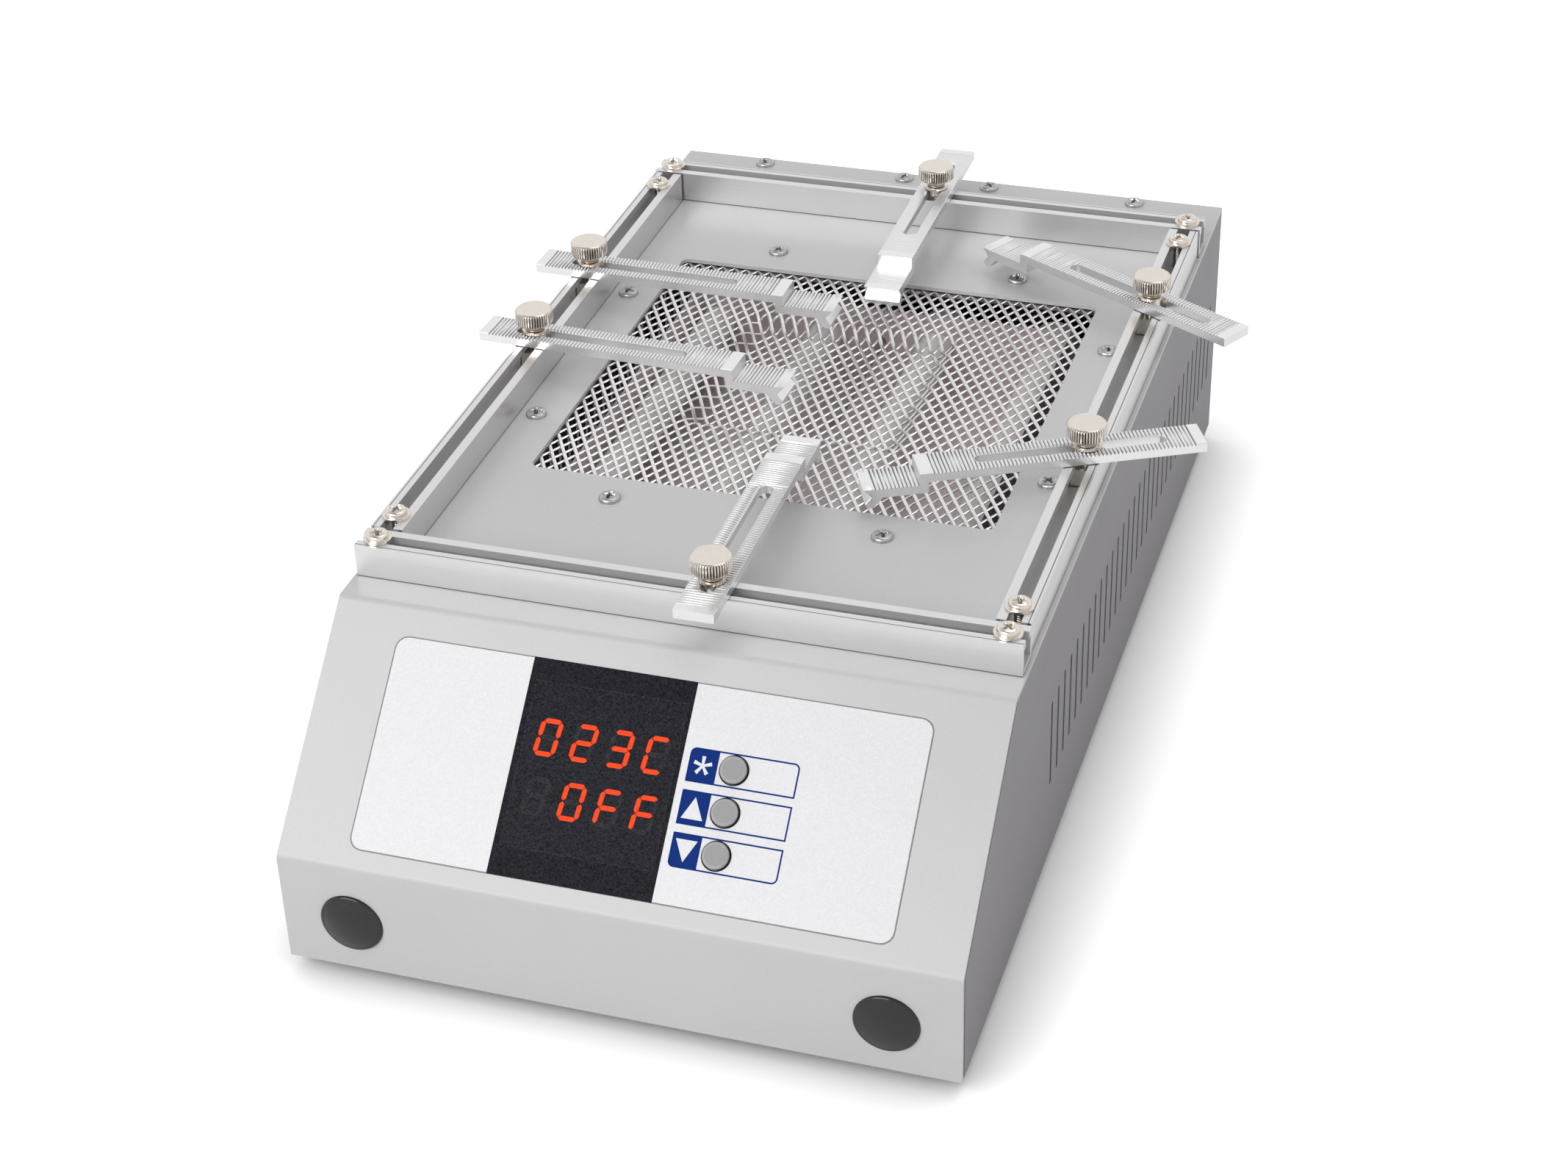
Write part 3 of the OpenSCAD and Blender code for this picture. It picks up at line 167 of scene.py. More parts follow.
SIDE_SCREW_FRONT = 6.8
SIDE_SCREW_REAR = 9.4
DECK_SCREWS = ((76.8, 39.7), (39.5, 78.9))
STRIP_INNER = 14.7
STRIP_OUTER = 28.5
STRIP_BACK = 4.4
EAR_INSET = 5.5

# Rails, with painted shade lines near their outer edges and a painted contact shadow along their foot
SHADE_LINE_INSET = 0.75
SHADE_LINE_HALF = 0.16
SHADE_LINE_TONE = 0.3
SLOT_LINING = 3.5
SLOT_METAL = 0.5
RAIL_SKIN = 0.05

# Front plugs
PLUG_RIM = 0.9
PLUG_EDGE = 0.9
PLUG_STEM = 6.6
PLUG_SIDES = 64
PLUG_CROWN_ROWS = 14
PLUG_RIM_ROWS = 7

# Expanded mesh
MESH_MARGIN = 1
CELL_WIDTH = 3.9
CELL_LENGTH = 6.9
STRAND_STEPS = 4
STRAND_NIP = 0.45
# Width and thickness, depth below the sheet's top, lean in degrees
BROAD_STRAND = ((1.15, 0.7), 0.62, -18)
THIN_STRAND = ((0.8, 0.62), 0.85, 25)
WELL_WIDTH = 67.5
WELL_LENGTH = 70.5
WELL_DEPTH = 3.4
WELL_RUN = 5.5
WELL_LEFT = 2.2
WELL_BACK = 5.2
WELL_UNEVEN = 0.25
WELL_WAVES = (9.0, 14.0, 11.0, 23.0)

# Control panel: x across, s up the slope, n out of the panel
PANEL_FOOT = 38.2
LABEL_LOW = 5.5
LABEL_HIGH = 63.25
LABEL_TOP = 0.1
LABEL_CORNER = 3.6
# Width of the painted shade line round the label's edge
LABEL_SHADE_WIDTH = 0.28
LENS_LINE = 0.22
INK_THICK = 0.03
CORNER_POINTS = 6
SQUARE_CORNER = 0.02
LEAST_CORNER = 0.01
BAND_BOX = (-34.6, 10.4, LABEL_LOW, LABEL_HIGH)  # left, right, low, high
LENS_BOX = (-32.9, 9.1, 13.2, 57.4)
KEY_BOX_LEFT = 12.25
KEY_BOX_RIGHT = 41.4
KEY_BLOCK_RIGHT = 20.0
KEY_BOX_HEIGHT = 9.0
KEY_PITCH = 11.1
KEY_MIDDLE = 31.0
KEY_LINE = 0.42
BLOCK_INSET = 0.36
KEY_CORNER = 1.6
KEY_FIRST = 31.1
KEY_RADIUS = 3.5
KEY_BEVEL = 0.7
KEY_EASE = 0.12
KEY_SOFT = 0.05
KEY_FLANGE = 4.4
KEY_FLANGE_TOP = -1.25
KEY_FLANGE_THICK = 0.9
KEY_STEM = 1.7
# Painted shade on the key caps: a share on the crown, none on the bevel, which so reads as a painted
# highlight ring, and more on the wall from a little above the label down
KEY_CROWN_SHADE = 0.36
KEY_SHADE = 0.3
KEY_SHADE_RISE = 0.4
KEY_SIDES = 64
# Black ring round each key's hole, painted shade of the gap round the key
KEY_GAP_SHADE_INNER = 3.7
KEY_GAP_SHADE_OUTER = 4.0
ICON_X = 16.1
ICON_HALF = 2.9
STAR_RADIUS = 2.5
STAR_TIP = 0.5
STAR_ROOT = 0.55
DIGIT_PITCH = 9.83
DIGIT_WIDTH = 6.1
DIGIT_HEIGHT = 10.0
DIGIT_STROKE = 1.25
DIGIT_SLANT = 0.1
SEGMENT_GAP = 0.12
DIGIT_ROWS = {"023C": (-29.2, 42.75), " OFF": (-29.0, 27.2)}


# Camera, floor and light
def put(name, data):
    """A new object in the scene."""
    thing = bpy.data.objects.new(name, data)
    bpy.context.scene.collection.objects.link(thing)
    return thing


def make_camera():
    """Camera at the photograph's place: turned by the azimuth, tipped by the elevation, then rolled."""
    data = bpy.data.cameras.new("camera")
    data.lens = CAMERA_LENS
    data.sensor_fit = "HORIZONTAL"
    data.sensor_width = SENSOR_WIDTH
    data.clip_start, data.clip_end = CAMERA_CLIP
    camera = put("camera", data)
    turn = Matrix.Rotation(math.radians(CAMERA_AZIMUTH), 4, "Z")
    tip = Matrix.Rotation(math.radians(90 - CAMERA_ELEVATION), 4, "X")
    roll = Matrix.Rotation(math.radians(CAMERA_ROLL), 4, "Z")
    camera.matrix_world = Matrix.Translation(CAMERA_AT) @ turn @ tip @ roll
    bpy.context.scene.camera = camera


def make_lamp(name, place, size, power):
    """Soft box at a place, turned to face the object."""
    data = bpy.data.lights.new(name, "AREA")
    data.shape = "RECTANGLE"
    data.size, data.size_y = size
    data.energy = power
    away = Vector(place) - Vector(LAMP_AIM)
    turn = away.to_track_quat("Z", "Y").to_matrix().to_4x4()
    put(name, data).matrix_world = Matrix.Translation(place) @ turn


def looked_at(tree, mirrored=1.0):
    """1 where the camera looks, mirrored where a gloss or a glass does, and 0 where a surface only lights."""
    path = tree.nodes.new("ShaderNodeLightPath").outputs
    gloss = maths(tree, "MAXIMUM", path["Is Glossy Ray"], path["Is Transmission Ray"])
    return maths(tree, "MAXIMUM", path["Is Camera Ray"], maths(tree, "MULTIPLY", gloss, mirrored))


def make_world():
    """White surroundings with a darker ceiling where they are looked at, and an even dim light elsewhere."""
    world = bpy.data.worlds.new("white_room")
    bpy.context.scene.world = world
    world.use_nodes = True
    tree = world.node_tree
    way = tree.nodes.new("ShaderNodeTexCoord").outputs["Generated"]
    height = add(tree, "ShaderNodeSeparateXYZ", Vector=way).outputs["Z"]
    span = dict(From_Min=CEILING_FROM, From_Max=CEILING_TO, To_Min=1.0, To_Max=CEILING_LEVEL)
    seen = add(tree, "ShaderNodeMapRange", Value=height, **span).outputs[0]
    strength = ranged(tree, looked_at(tree), ROOM_LIGHT, seen)
    feed(tree, tree.nodes["Background"], Color=(1, 1, 1, 1), Strength=strength)


def make_floor():
    """Flat pale square at z = 0 that keeps the shadow and glows where it is looked at, the glow fading near
    the object as a painted contact shadow.
    """
    half = FLOOR_HALF / MM
    corners = np.array([[-half, -half, 0], [half, -half, 0], [half, half, 0], [-half, half, 0]])
    mesh = mesh_from("floor", corners, [np.array([[0, 1, 2, 3]])])
    floor = put("floor", mesh)
    material, shader, tree = new_material("floor_paper")
    grain = ranged(tree, noise(tree, object_place(tree), FLOOR_GRAIN, 3.0), *FLOOR_TONES)
    # Painted contact shadow: the glow is cut by ambient occlusion near the object.
    shade = add(tree, "ShaderNodeAmbientOcclusion", Distance=SHADE_REACH).outputs["AO"]
    glow = ranged(tree, looked_at(tree, FLOOR_MIRRORED), 0.0, FLOOR_GLOW)
    strength = maths(tree, "MULTIPLY", glow, maths(tree, "POWER", shade, SHADE_POWER))
    feed(tree, shader, Base_Color=grain, Roughness=0.9, Specular_IOR_Level=0.1)
    feed(tree, shader, Emission_Color=(1, 1, 1, 1), Emission_Strength=strength)
    mesh.materials.append(material)


# Meshes from arrays
def mesh_from(name, points, polygons, groove=None):
    """Mesh from millimetre points and a list of polygon arrays, one array for each number of corners.

    A groove array gives each point's share of a groove's depth, by which the finish there is darkened as
    painted shade.
    """
    mesh = bpy.data.meshes.new(name)
    corners = np.concatenate([np.asarray(p).ravel() for p in polygons]).astype(np.int32)
    counts = np.concatenate([np.full(len(p), np.shape(p)[1]) for p in polygons])
    starts = np.concatenate([[0], np.cumsum(counts)[:-1]]).astype(np.int32)
    mesh.vertices.add(len(points))
    mesh.vertices.foreach_set("co", (np.asarray(points) * MM).astype(np.float32).ravel())
    mesh.loops.add(len(corners))
    mesh.loops.foreach_set("vertex_index", corners)
    mesh.polygons.add(len(starts))
    mesh.polygons.foreach_set("loop_start", starts)
    if groove is not None:
        shares = mesh.attributes.new("groove", "FLOAT", "POINT")
        shares.data.foreach_set("value", np.asarray(groove, dtype=np.float32))
    mesh.update(calc_edges=True)
    mesh.validate()
    return mesh


def close_up(mesh, sharp):
    """Welds points that fall together, drops empty faces and turns every face outwards."""
    work = bmesh.new()
    work.from_mesh(mesh)
    bmesh.ops.remove_doubles(work, verts=work.verts, dist=WELD)
    bmesh.ops.dissolve_degenerate(work, edges=work.edges, dist=EMPTY)
    bmesh.ops.recalc_face_normals(work, faces=work.faces)
    work.to_mesh(mesh)
    work.free()
    mesh.polygons.foreach_set("use_smooth", np.ones(len(mesh.polygons), dtype=bool))
    mesh.set_sharp_from_angle(angle=math.radians(sharp))


def dress(name, form, sharp, material, body, slot, *nodes):
    """Makes a piece of points, polygons and the shares of painted shade in its grooves on a body, in place of
    the CAD nodes that it shows.
    """
    mesh = mesh_from(name, *form)
    close_up(mesh, sharp)
    mesh.materials.append(material)
    piece = put(name, mesh)
    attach(piece, body)
    if nodes:
        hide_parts(*nodes)


def grid_quads(rows, columns, round_rows=False, round_columns=False):
    """Quads between neighbours of a grid of points numbered row by row, closed where a direction is round."""
    i = np.arange(rows if round_rows else rows - 1)[:, None]
    j = np.arange(columns if round_columns else columns - 1)
    here, below, right = i * columns, (i + 1) % rows * columns, (j + 1) % columns
    return np.stack([here + j, here + right, below + right, below + j], axis=-1).reshape(-1, 4)


def ladder(first, second, at):
    """Quads between two lines of corners, one from each given place to the next."""
    return np.stack([first[at], first[at + 1], second[at + 1], second[at]], axis=1)


def spun(radius, height, sides):
    """Points at equal angles about the z axis, from each profile row's radii and height."""
    angle = np.arange(sides) * 2 * np.pi / sides
    height = np.broadcast_to(height, (len(radius), sides))
    return np.stack([radius * np.cos(angle), radius * np.sin(angle), height], axis=-1).reshape(-1, 3)


def joined(parts):
    """One list of points and polygon arrays from several, with each part's corner numbers moved on."""
    sizes = np.cumsum([0] + [len(points) for points, _ in parts])
    points = np.concatenate([points for points, _ in parts])
    polygons = [np.asarray(p) + start for (_, group), start in zip(parts, sizes) for p in group]
    return points, polygons


# Clamp arms
def half_slot(u, grown=0.0):
    """Half the slot's width along the arm: the radius in the middle, a half circle at each end."""
    radius = SLOT_WIDTH / 2 + grown
    inside = np.clip(np.minimum(u - SLOT_FROM, SLOT_TO - u) + grown, 0, radius)
    return np.sqrt(np.maximum(radius**2 - (radius - inside) ** 2, 0))


def rib_drop(u, start, end, depth):
    """Drop of the ribbed top below its crests: narrow valleys one pitch apart, from start to end."""
    wave = 1 - np.abs(np.sin(np.pi * (u - start) / RIB_PITCH)) ** RIB_POWER
    return np.where((u >= start) & (u <= end), depth * wave, 0)


def arm_stations(depth):
    """Places along the arm with the heights of its top and underside there, repeated where a height jumps."""
    heel = BAR_LENGTH - RISER_LENGTH
    shelf = BAR_THICK - BAR_STEP
    low = shelf - TIP_THICK
    tongue = ARM_LENGTH - TONGUE_LENGTH
    apex = ARM_LENGTH - TIP_NOTCH
    bend = (SLOT_WIDTH / 2 + SLOT_BEVEL) * (1 - np.cos(np.linspace(0, np.pi / 2, BEND_POINTS))) - SLOT_BEVEL
    steps = np.arange(0, apex, RIB_PITCH / RIB_STEPS)
    marks = [heel, BAR_LENGTH, tongue, ARM_LENGTH - TONGUE_LENGTH / 2, apex, SLOT_FROM, SLOT_TO]
    single = np.unique(np.round(np.concatenate([steps, SLOT_FROM + bend, SLOT_TO - bend, marks]), 4))
    u = np.sort(np.concatenate([single, [heel, BAR_LENGTH]]))
    order = np.arange(len(u))
    past_heel = order > np.flatnonzero(u == heel)[0]
    past_bar = order > np.flatnonzero(u == BAR_LENGTH)[0]
    top = np.where(past_bar, shelf, BAR_THICK)
    drop = np.where(
        past_bar,
        rib_drop(u, math.ceil(BAR_LENGTH / RIB_PITCH) * RIB_PITCH, ARM_LENGTH - SMOOTH_LIP, depth),
        rib_drop(u, SMOOTH_LIP, BAR_LENGTH - SMOOTH_LIP, depth),
    )
    slope = np.clip((u - tongue) / (TONGUE_LENGTH / 2), 0, 1)
    under = np.where(past_heel, low - TONGUE_DROP * slope, 0)
    nose = np.array([
        [ARM_LENGTH - TONGUE_LENGTH / 5, low - TONGUE_DROP],
        [ARM_LENGTH - TONGUE_LENGTH / 12, low - TONGUE_DROP / 2],
        [apex, low + TIP_THICK / 6],
        [ARM_LENGTH, shelf],
    ])
    return u, top, drop, under, nose, ~past_heel


def arm_mesh(depth):
    """Arm in its own frame: a closed side view carried across the width, with a slot cut through the bar.

    The side view runs along the underside, round the notched nose and back along the ribbed top. Each of its
    points is repeated at six widths: both chamfered sides, both chamfer edges and both edges of the slot,
    which lie together where there is no slot. The sides join top and underside station by station, and two
    small faces close the nose. The slot is wider at the top: a bevel leads down to a second pair of edges,
    and walls lead on to the underside.
    """
    u, top, drop, under, nose, on_bar = arm_stations(depth)
    count, ahead = len(u), len(nose)
    plain = np.concatenate([np.stack([u, under], axis=1), nose, np.stack([u, top], axis=1)[::-1]])
    side = plain.copy()
    side[count + ahead:, 1] -= drop[::-1]
    run = np.roll(plain, -1, axis=0) - np.roll(plain, 1, axis=0)
    inward = np.stack([-run[:, 1], run[:, 0]], axis=1)
    inward /= np.maximum(np.linalg.norm(inward, axis=1, keepdims=True), 1e-9)
    inset = side + ARM_CHAMFER * inward
    lower = np.where(on_bar, half_slot(u), 0)
    upper = np.where(on_bar, half_slot(u, SLOT_BEVEL), 0)
    gap = np.concatenate([lower, np.zeros(ahead), upper[::-1]])
    edge = np.full(len(side), ARM_WIDTH / 2 - ARM_CHAMFER)
    flank = np.full(len(side), ARM_WIDTH / 2)
    widths = np.stack([-flank, -edge, -gap, gap, edge, flank], axis=1)
    views = np.stack([inset, side, side, side, side, inset], axis=1)
    points = np.stack([views[..., 0], widths, views[..., 1]], axis=-1).reshape(-1, 3)
    columns = widths.shape[1]
    skin = grid_quads(len(side), columns, round_rows=True).reshape(len(side), columns - 1, 4)
    below = np.arange(count)
    above = len(side) - 1 - below
    strip = ladder(above, below, below[:-1])
    ledge_height = np.where(upper > 0, top - SLOT_BEVEL, top - drop)
    shelf = np.stack([
        np.repeat(u, 2), np.stack([-lower, lower], axis=1).ravel(), np.repeat(ledge_height, 2),
    ], axis=1)
    bevelled = np.flatnonzero((upper[:-1] > 0) | (upper[1:] > 0))
    walled = np.flatnonzero((lower[:-1] > 0) | (lower[1:] > 0))
    root, lip, notch = below[-1], above[-1], count + 2
    polygons = [skin[:, [0, 1, 3, 4]].reshape(-1, 4)]
    for hand in (0, 1):
        ledge = len(points) + 2 * below + hand
        over, under_edge = above * columns + 2 + hand, below * columns + 2 + hand
        polygons += [ladder(over, ledge, bevelled), ladder(ledge, under_edge, walled)]
    for column in (0, columns - 1):
        polygons += [
            strip[:-1] * columns + column,
            np.array([[above[-2], lip, notch, root, below[-2]]]) * columns + column,
            np.array([[root, count, count + 1, notch]]) * columns + column,
            np.array([[notch, count + 3, lip]]) * columns + column,
        ]
    # Painted shade in the ribs' valleys: each top point's share of the rib's depth.
    valley = np.zeros(widths.shape)
    valley[count + ahead:, 1:-1] = drop[::-1, None] / RIB_DEPTH
    groove = np.concatenate([valley.ravel(), np.zeros(len(shelf))])
    return np.concatenate([points, shelf]), polygons, groove


def corners_of(node):
    """A node's mesh corners, in millimetres."""
    mesh = frame["nodes"][node].data
    corners = np.empty(len(mesh.vertices) * 3, dtype=np.float32)
    mesh.vertices.foreach_get("co", corners)
    return corners.reshape(-1, 3) / MM


def middle_of(node):
    """Middle of a node's box, in millimetres."""
    return np.array(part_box(node)).mean(axis=0) / MM


def joint(name):
    """The record's joint of that name."""
    return next(j for j in frame["joints"] if j["name"] == name)


def make_arms(material):
    """One ribbed arm for each clamp, laid from the CAD arm's outer end along the arm's own axis."""
    for name in CLAMPS:
        axis = np.array(joint(name + "_arm_reach")["axis"])
        across = np.array([-axis[1], axis[0], 0])
        pivot = np.array(joint(name + "_arm_swivel")["pos_m"]) / MM
        solid = corners_of("arm_" + name)
        outer = ((solid - pivot) @ axis).min()
        start = pivot * [1, 1, 0] + axis * outer + [0, 0, solid[:, 2].max() - BAR_THICK]
        points, *rest = arm_mesh(FAINT_RIB_DEPTH if name == FAINT_ARM else RIB_DEPTH)
        form = start + points[:, :1] * axis + points[:, 1:2] * across + points[:, 2:] * [0, 0, 1], *rest
        dress("ribbed_arm_" + name, form, ARM_SHARP, material, "clamp_" + name, "arm_metal", "arm_" + name)


# Thumb screws
def make_thumb_screws(material):
    """Knurled thumb screw for each clamp: a turned profile whose radius dips in teeth on the knurled rows.

    The surface is a grid of profile rows and angles. A tooth has a flat crest and straight flanks, so the
    radius is the row's own less the knurl depth times a triangle wave whose top is cut off.
    """
    top = COLLAR_HEIGHT + KNOB_HEIGHT
    low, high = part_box("thumb_screw_" + CLAMPS[0])
    foot = -((high[2] - low[2]) / MM - top)
    rows = np.array([
        # radius, height, share of the knurl's depth
        [0, foot, 0],
        [THREAD_RADIUS - THREAD_NIP, foot, 0],
        [THREAD_RADIUS, foot + THREAD_NIP, 0],
        [THREAD_RADIUS, 0, 0],
        [COLLAR_FOOT - COLLAR_NIP, 0, 0],
        [COLLAR_FOOT, COLLAR_NIP, 0],
        *([COLLAR_RADIUS - inset, COLLAR_HEIGHT * share, 0] for inset, share in COLLAR_FLARE),
        *([KNOB_RADIUS - inset, COLLAR_HEIGHT + rise, share] for inset, rise, share in KNOB_FOOT_EDGE),
        *([KNOB_RADIUS - inset, top - fall, share] for inset, fall, share in KNOB_TOP_EDGE),
        [KNOB_RADIUS / 2, top - KNOB_DISH, 0],
        [0, top - KNOB_DISH, 0],
    ])
    count = KNURL_TEETH * TOOTH_STEPS
    wave = np.abs((np.arange(count) / TOOTH_STEPS) % 1 * 2 - 1)
    # The knurl's share of depth also gives the painted shade in its grooves.
    groove = rows[:, 2:] * np.clip(wave * (1 + TOOTH_CREST) - TOOTH_CREST, 0, 1)
    points = spun(rows[:, :1] - KNURL_DEPTH * groove, rows[:, 1:2], count)
    quads = grid_quads(len(rows), count, round_columns=True)
    for name in CLAMPS:
        node = "thumb_screw_" + name
        middle = [*middle_of(node)[:2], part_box(node)[1][2] / MM - top]
        form = points + middle, [quads], groove.ravel()
        dress("knurled_screw_" + name, form, KNOB_SHARP, material, "knob_" + name, "screw_metal", node)


# Screws
def cross_recess(x, y):
    """Share of the recess's depth on a screw head: 1 in either bar of a cross, falling off at its sides."""
    long_way = np.clip((RECESS_LENGTH / 2 - np.abs([x, y])) / RECESS_SOFT + 0.5, 0, 1)
    short_way = np.clip((RECESS_WIDTH / 2 - np.abs([y, x])) / RECESS_SOFT + 0.5, 0, 1)
    bars = (long_way * short_way).max(axis=0)
    return bars * (1 - RECESS_RISE * np.hypot(x, y) / (RECESS_LENGTH / 2))


def screw_rows(flange, shank):
    """Rows of a turned screw from its crown to its end: radius, height above its seat and thread share."""
    reach = HEAD_RADIUS * CROWN_REACH
    crown = np.linspace(0, reach, CROWN_ROWS)
    fall = HEAD_HEIGHT * CROWN_FALL * (crown / HEAD_RADIUS) ** 2
    turn = np.linspace(0, np.pi / 2, RIM_ROWS)[1:]
    brim = reach + (HEAD_RADIUS - reach) * np.sin(turn)
    rim = (HEAD_HEIGHT - fall[-1]) * (RIM_FOOT + (1 - RIM_FOOT) * np.cos(turn))
    rows = [
        np.stack([crown, HEAD_HEIGHT - fall, 0 * crown], axis=1),
        np.stack([brim, rim, 0 * turn], axis=1),
        [[HEAD_RADIUS, 0, 0]],
    ]
    if flange:
        rows.append([
            [FLANGE_RADIUS - FLANGE_EDGE, 0, 0], [FLANGE_RADIUS, -FLANGE_EDGE, 0],
            [FLANGE_RADIUS, FLANGE_NIP - FLANGE_THICK, 0], [FLANGE_RADIUS - FLANGE_NIP, -FLANGE_THICK, 0],
        ])
    start = -FLANGE_THICK if flange else 0
    depth = np.arange(0, shank, THREAD_PITCH / THREAD_STEPS if flange else shank / PLAIN_STEPS)
    rows.append(np.stack([np.full_like(depth, SHANK_RADIUS), start - depth, np.ones_like(depth)], axis=1))
    rows.append([[0, start - depth[-1], 0]])
    return np.concatenate(rows)


def screw_mesh(flange, shank, turn):
    """Pan-head screw about the z axis, seated at z = 0: turned rows, a pressed cross and a wound thread.

    The crown's height drops by the recess's depth times the cross's share. On the shank the radius swings by
    a triangle wave that shifts by one pitch in each turn, which makes the thread.
    """
    rows = screw_rows(flange, shank)
    angle = np.arange(SCREW_SIDES) * 2 * np.pi / SCREW_SIDES
    wave = np.abs(((rows[:, 1:2] / THREAD_PITCH + angle / (2 * np.pi)) % 1) * 2 - 1)
    radius = rows[:, :1] - rows[:, 2:] * wave * THREAD_DEPTH * bool(flange)
    x, y = radius * np.cos(angle), radius * np.sin(angle)
    c, s = math.cos(turn), math.sin(turn)
    dip = np.where(np.arange(len(rows))[:, None] < CROWN_ROWS, cross_recess(c * x + s * y, c * y - s * x), 0)
    height = rows[:, 1:2] - RECESS_DEPTH * dip
    lift = FLANGE_THICK if flange else 0
    points = np.stack([x, y, height + lift], axis=-1).reshape(-1, 3)
    # Painted shade in the cross recess and the thread's valleys, by their share of depth.
    groove = np.maximum(dip, rows[:, 2:] * wave)
    return points, [grid_quads(len(rows), SCREW_SIDES, round_columns=True)[:, ::-1]], groove.ravel()


def screw_piece(name, screws, material, node):
    """Several screws as one piece: each is turned about x where it points back, then moved to its place."""
    parts, groove_shades = [], []
    for place, backwards, flange, shank, turn in screws:
        points, polygons, groove = screw_mesh(flange, shank, turn)
        if backwards:
            points = points[:, [0, 2, 1]] * [1, 1, -1]
        parts.append((points + place, polygons))
        groove_shades.append(groove)
    form = *joined(parts), np.concatenate(groove_shades)
    dress(name, form, SCREW_SHARP, material, "case", "screw_metal", node)


def make_screws(rail_metal, deck_metal):
    """Rail screws with flanges and threads, and plain ones in the deck, rear strip and mains inlet."""
    low, high = np.array(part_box("left_rail")) / MM
    deck, rail_top = low[2], high[2]
    columns = [middle_of(n)[0] for n in ("left_rail", "right_rail")]
    front, back = (middle_of(n)[1] for n in ("front_rail", "rear_rail"))
    rows = (front, low[1] + SIDE_SCREW_FRONT, high[1] - SIDE_SCREW_REAR, back)
    shank = rail_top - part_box("rail_screws")[0][2] / MM
    screws = [
        ([x, y, rail_top], False, True, shank, RAIL_TURN_FIRST + RAIL_TURN_STEP * (len(rows) * i + j))
        for i, x in enumerate(columns) for j, y in enumerate(rows)
    ]
    screw_piece("rail_screw_set", screws, rail_metal, "rail_screws")
    heater = middle_of("heater_mesh")
    right, rear, _ = np.array(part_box("top_cover")[1]) / MM
    spots = [
        (heater[0] + sx * x, heater[1] + sy * y)
        for x, y in DECK_SCREWS for sx in (-1, 1) for sy in (-1, 1)
    ]
    spots += [(sx * x, rear - STRIP_BACK) for x in (STRIP_INNER, right - STRIP_OUTER) for sx in (-1, 1)]
    screws = [
        ([x, y, deck], False, False, DECK_SHANK, DECK_TURN_FIRST + DECK_TURN_STEP * k)
        for k, (x, y) in enumerate(spots)
    ]
    inlet_low, inlet_high = np.array(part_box("mains_inlet")) / MM
    height = middle_of("mains_inlet")[2]
    for x in (inlet_low[0] + EAR_INSET, inlet_high[0] - EAR_INSET):
        screws.append(([x, inlet_high[1], height], True, False, DECK_SHANK, EAR_TURN))
    screw_piece("panel_screw_set", screws, deck_metal, "panel_screws")


# Plugs and keys
def turned(rows, sides):
    """A profile of radius and height turned about the z axis: a grid of its rows and equal angles."""
    rows = np.asarray(rows, dtype=float)
    points = spun(rows[:, :1], rows[:, 1:2], sides)
    return points, [grid_quads(len(rows), sides, round_columns=True)]


def make_plugs(material):
    """Domed plugs in the front face: a shallow crown, a rounded rim and a snap stem, turned about -y."""
    corners = corners_of("front_plugs")
    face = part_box("top_cover")[0][1] / MM
    dome = face - corners[:, 1].min()
    stem = face - corners[:, 1].max()
    height = middle_of("front_plugs")[2]
    radius = corners[:, 2].max() - height
    reach = corners[:, 0].max() - radius
    crown = np.linspace(0, 1, PLUG_CROWN_ROWS)
    turn = np.linspace(0, np.pi / 2, PLUG_RIM_ROWS)[1:]
    rows = np.concatenate([
        np.stack([(radius - PLUG_RIM) * crown, dome - (dome - PLUG_EDGE) * crown**2], axis=1),
        np.stack([radius - PLUG_RIM + PLUG_RIM * np.sin(turn), PLUG_EDGE * np.cos(turn)], axis=1),
        [[PLUG_STEM, 0], [PLUG_STEM, stem], [0, stem]],
    ])
    points, polygons = turned(rows, PLUG_SIDES)
    points = points[:, [0, 2, 1]] * [1, -1, 1]
    pair = joined([(points + [side * reach, face, height], polygons) for side in (-1, 1)])
    dress("domed_plugs", pair, PLUG_SHARP, material, "case", "black_plastic", "front_plugs")


def make_keys(material):
    """Three key caps turned about the panel's normal: a flat crown, a bevel, a flange and a stem.

    The profile's third column is painted shade: some on the crown, none on the bevel, which so shows as a
    painted highlight ring, and all from the label down.
    """
    normal = np.array(joint("select_press")["axis"])
    foot = on_panel([[0, 0]], [0])[0]
    under = KEY_FLANGE_TOP - KEY_FLANGE_THICK
    for row, name in zip((1, 0, -1), ("select", "up", "down")):
        node = name + "_button"
        out = (corners_of(node) - foot) @ normal
        high, low = out.max(), out.min()
        profile = [
            [0, high, KEY_CROWN_SHADE],
            [KEY_RADIUS - KEY_BEVEL - KEY_EASE, high, KEY_CROWN_SHADE],
            [KEY_RADIUS - KEY_BEVEL, high - KEY_SOFT, 0],
            [KEY_RADIUS - KEY_EASE, high - KEY_BEVEL + KEY_EASE, 0],
            [KEY_RADIUS, high - KEY_BEVEL, 0],
            [KEY_RADIUS, LABEL_TOP + KEY_SHADE_RISE, KEY_SHADE],
            [KEY_RADIUS, LABEL_TOP, 1],
            [KEY_RADIUS, KEY_FLANGE_TOP, 1], [KEY_FLANGE, KEY_FLANGE_TOP, 1], [KEY_FLANGE, under, 1],
            [KEY_STEM, under, 1], [KEY_STEM, low, 1], [0, low, 1],
        ]
        points, polygons = turned(profile, KEY_SIDES)
        shade = np.repeat(np.array(profile)[:, 2], KEY_SIDES)
        place = [middle_of(node)[0], KEY_FIRST + row * KEY_PITCH]
        form = on_panel(points[:, :2] + place, points[:, 2]), polygons, shade
        dress("key_cap_" + name, form, KEY_SHARP, material, name + "_key", "button_plastic", node)


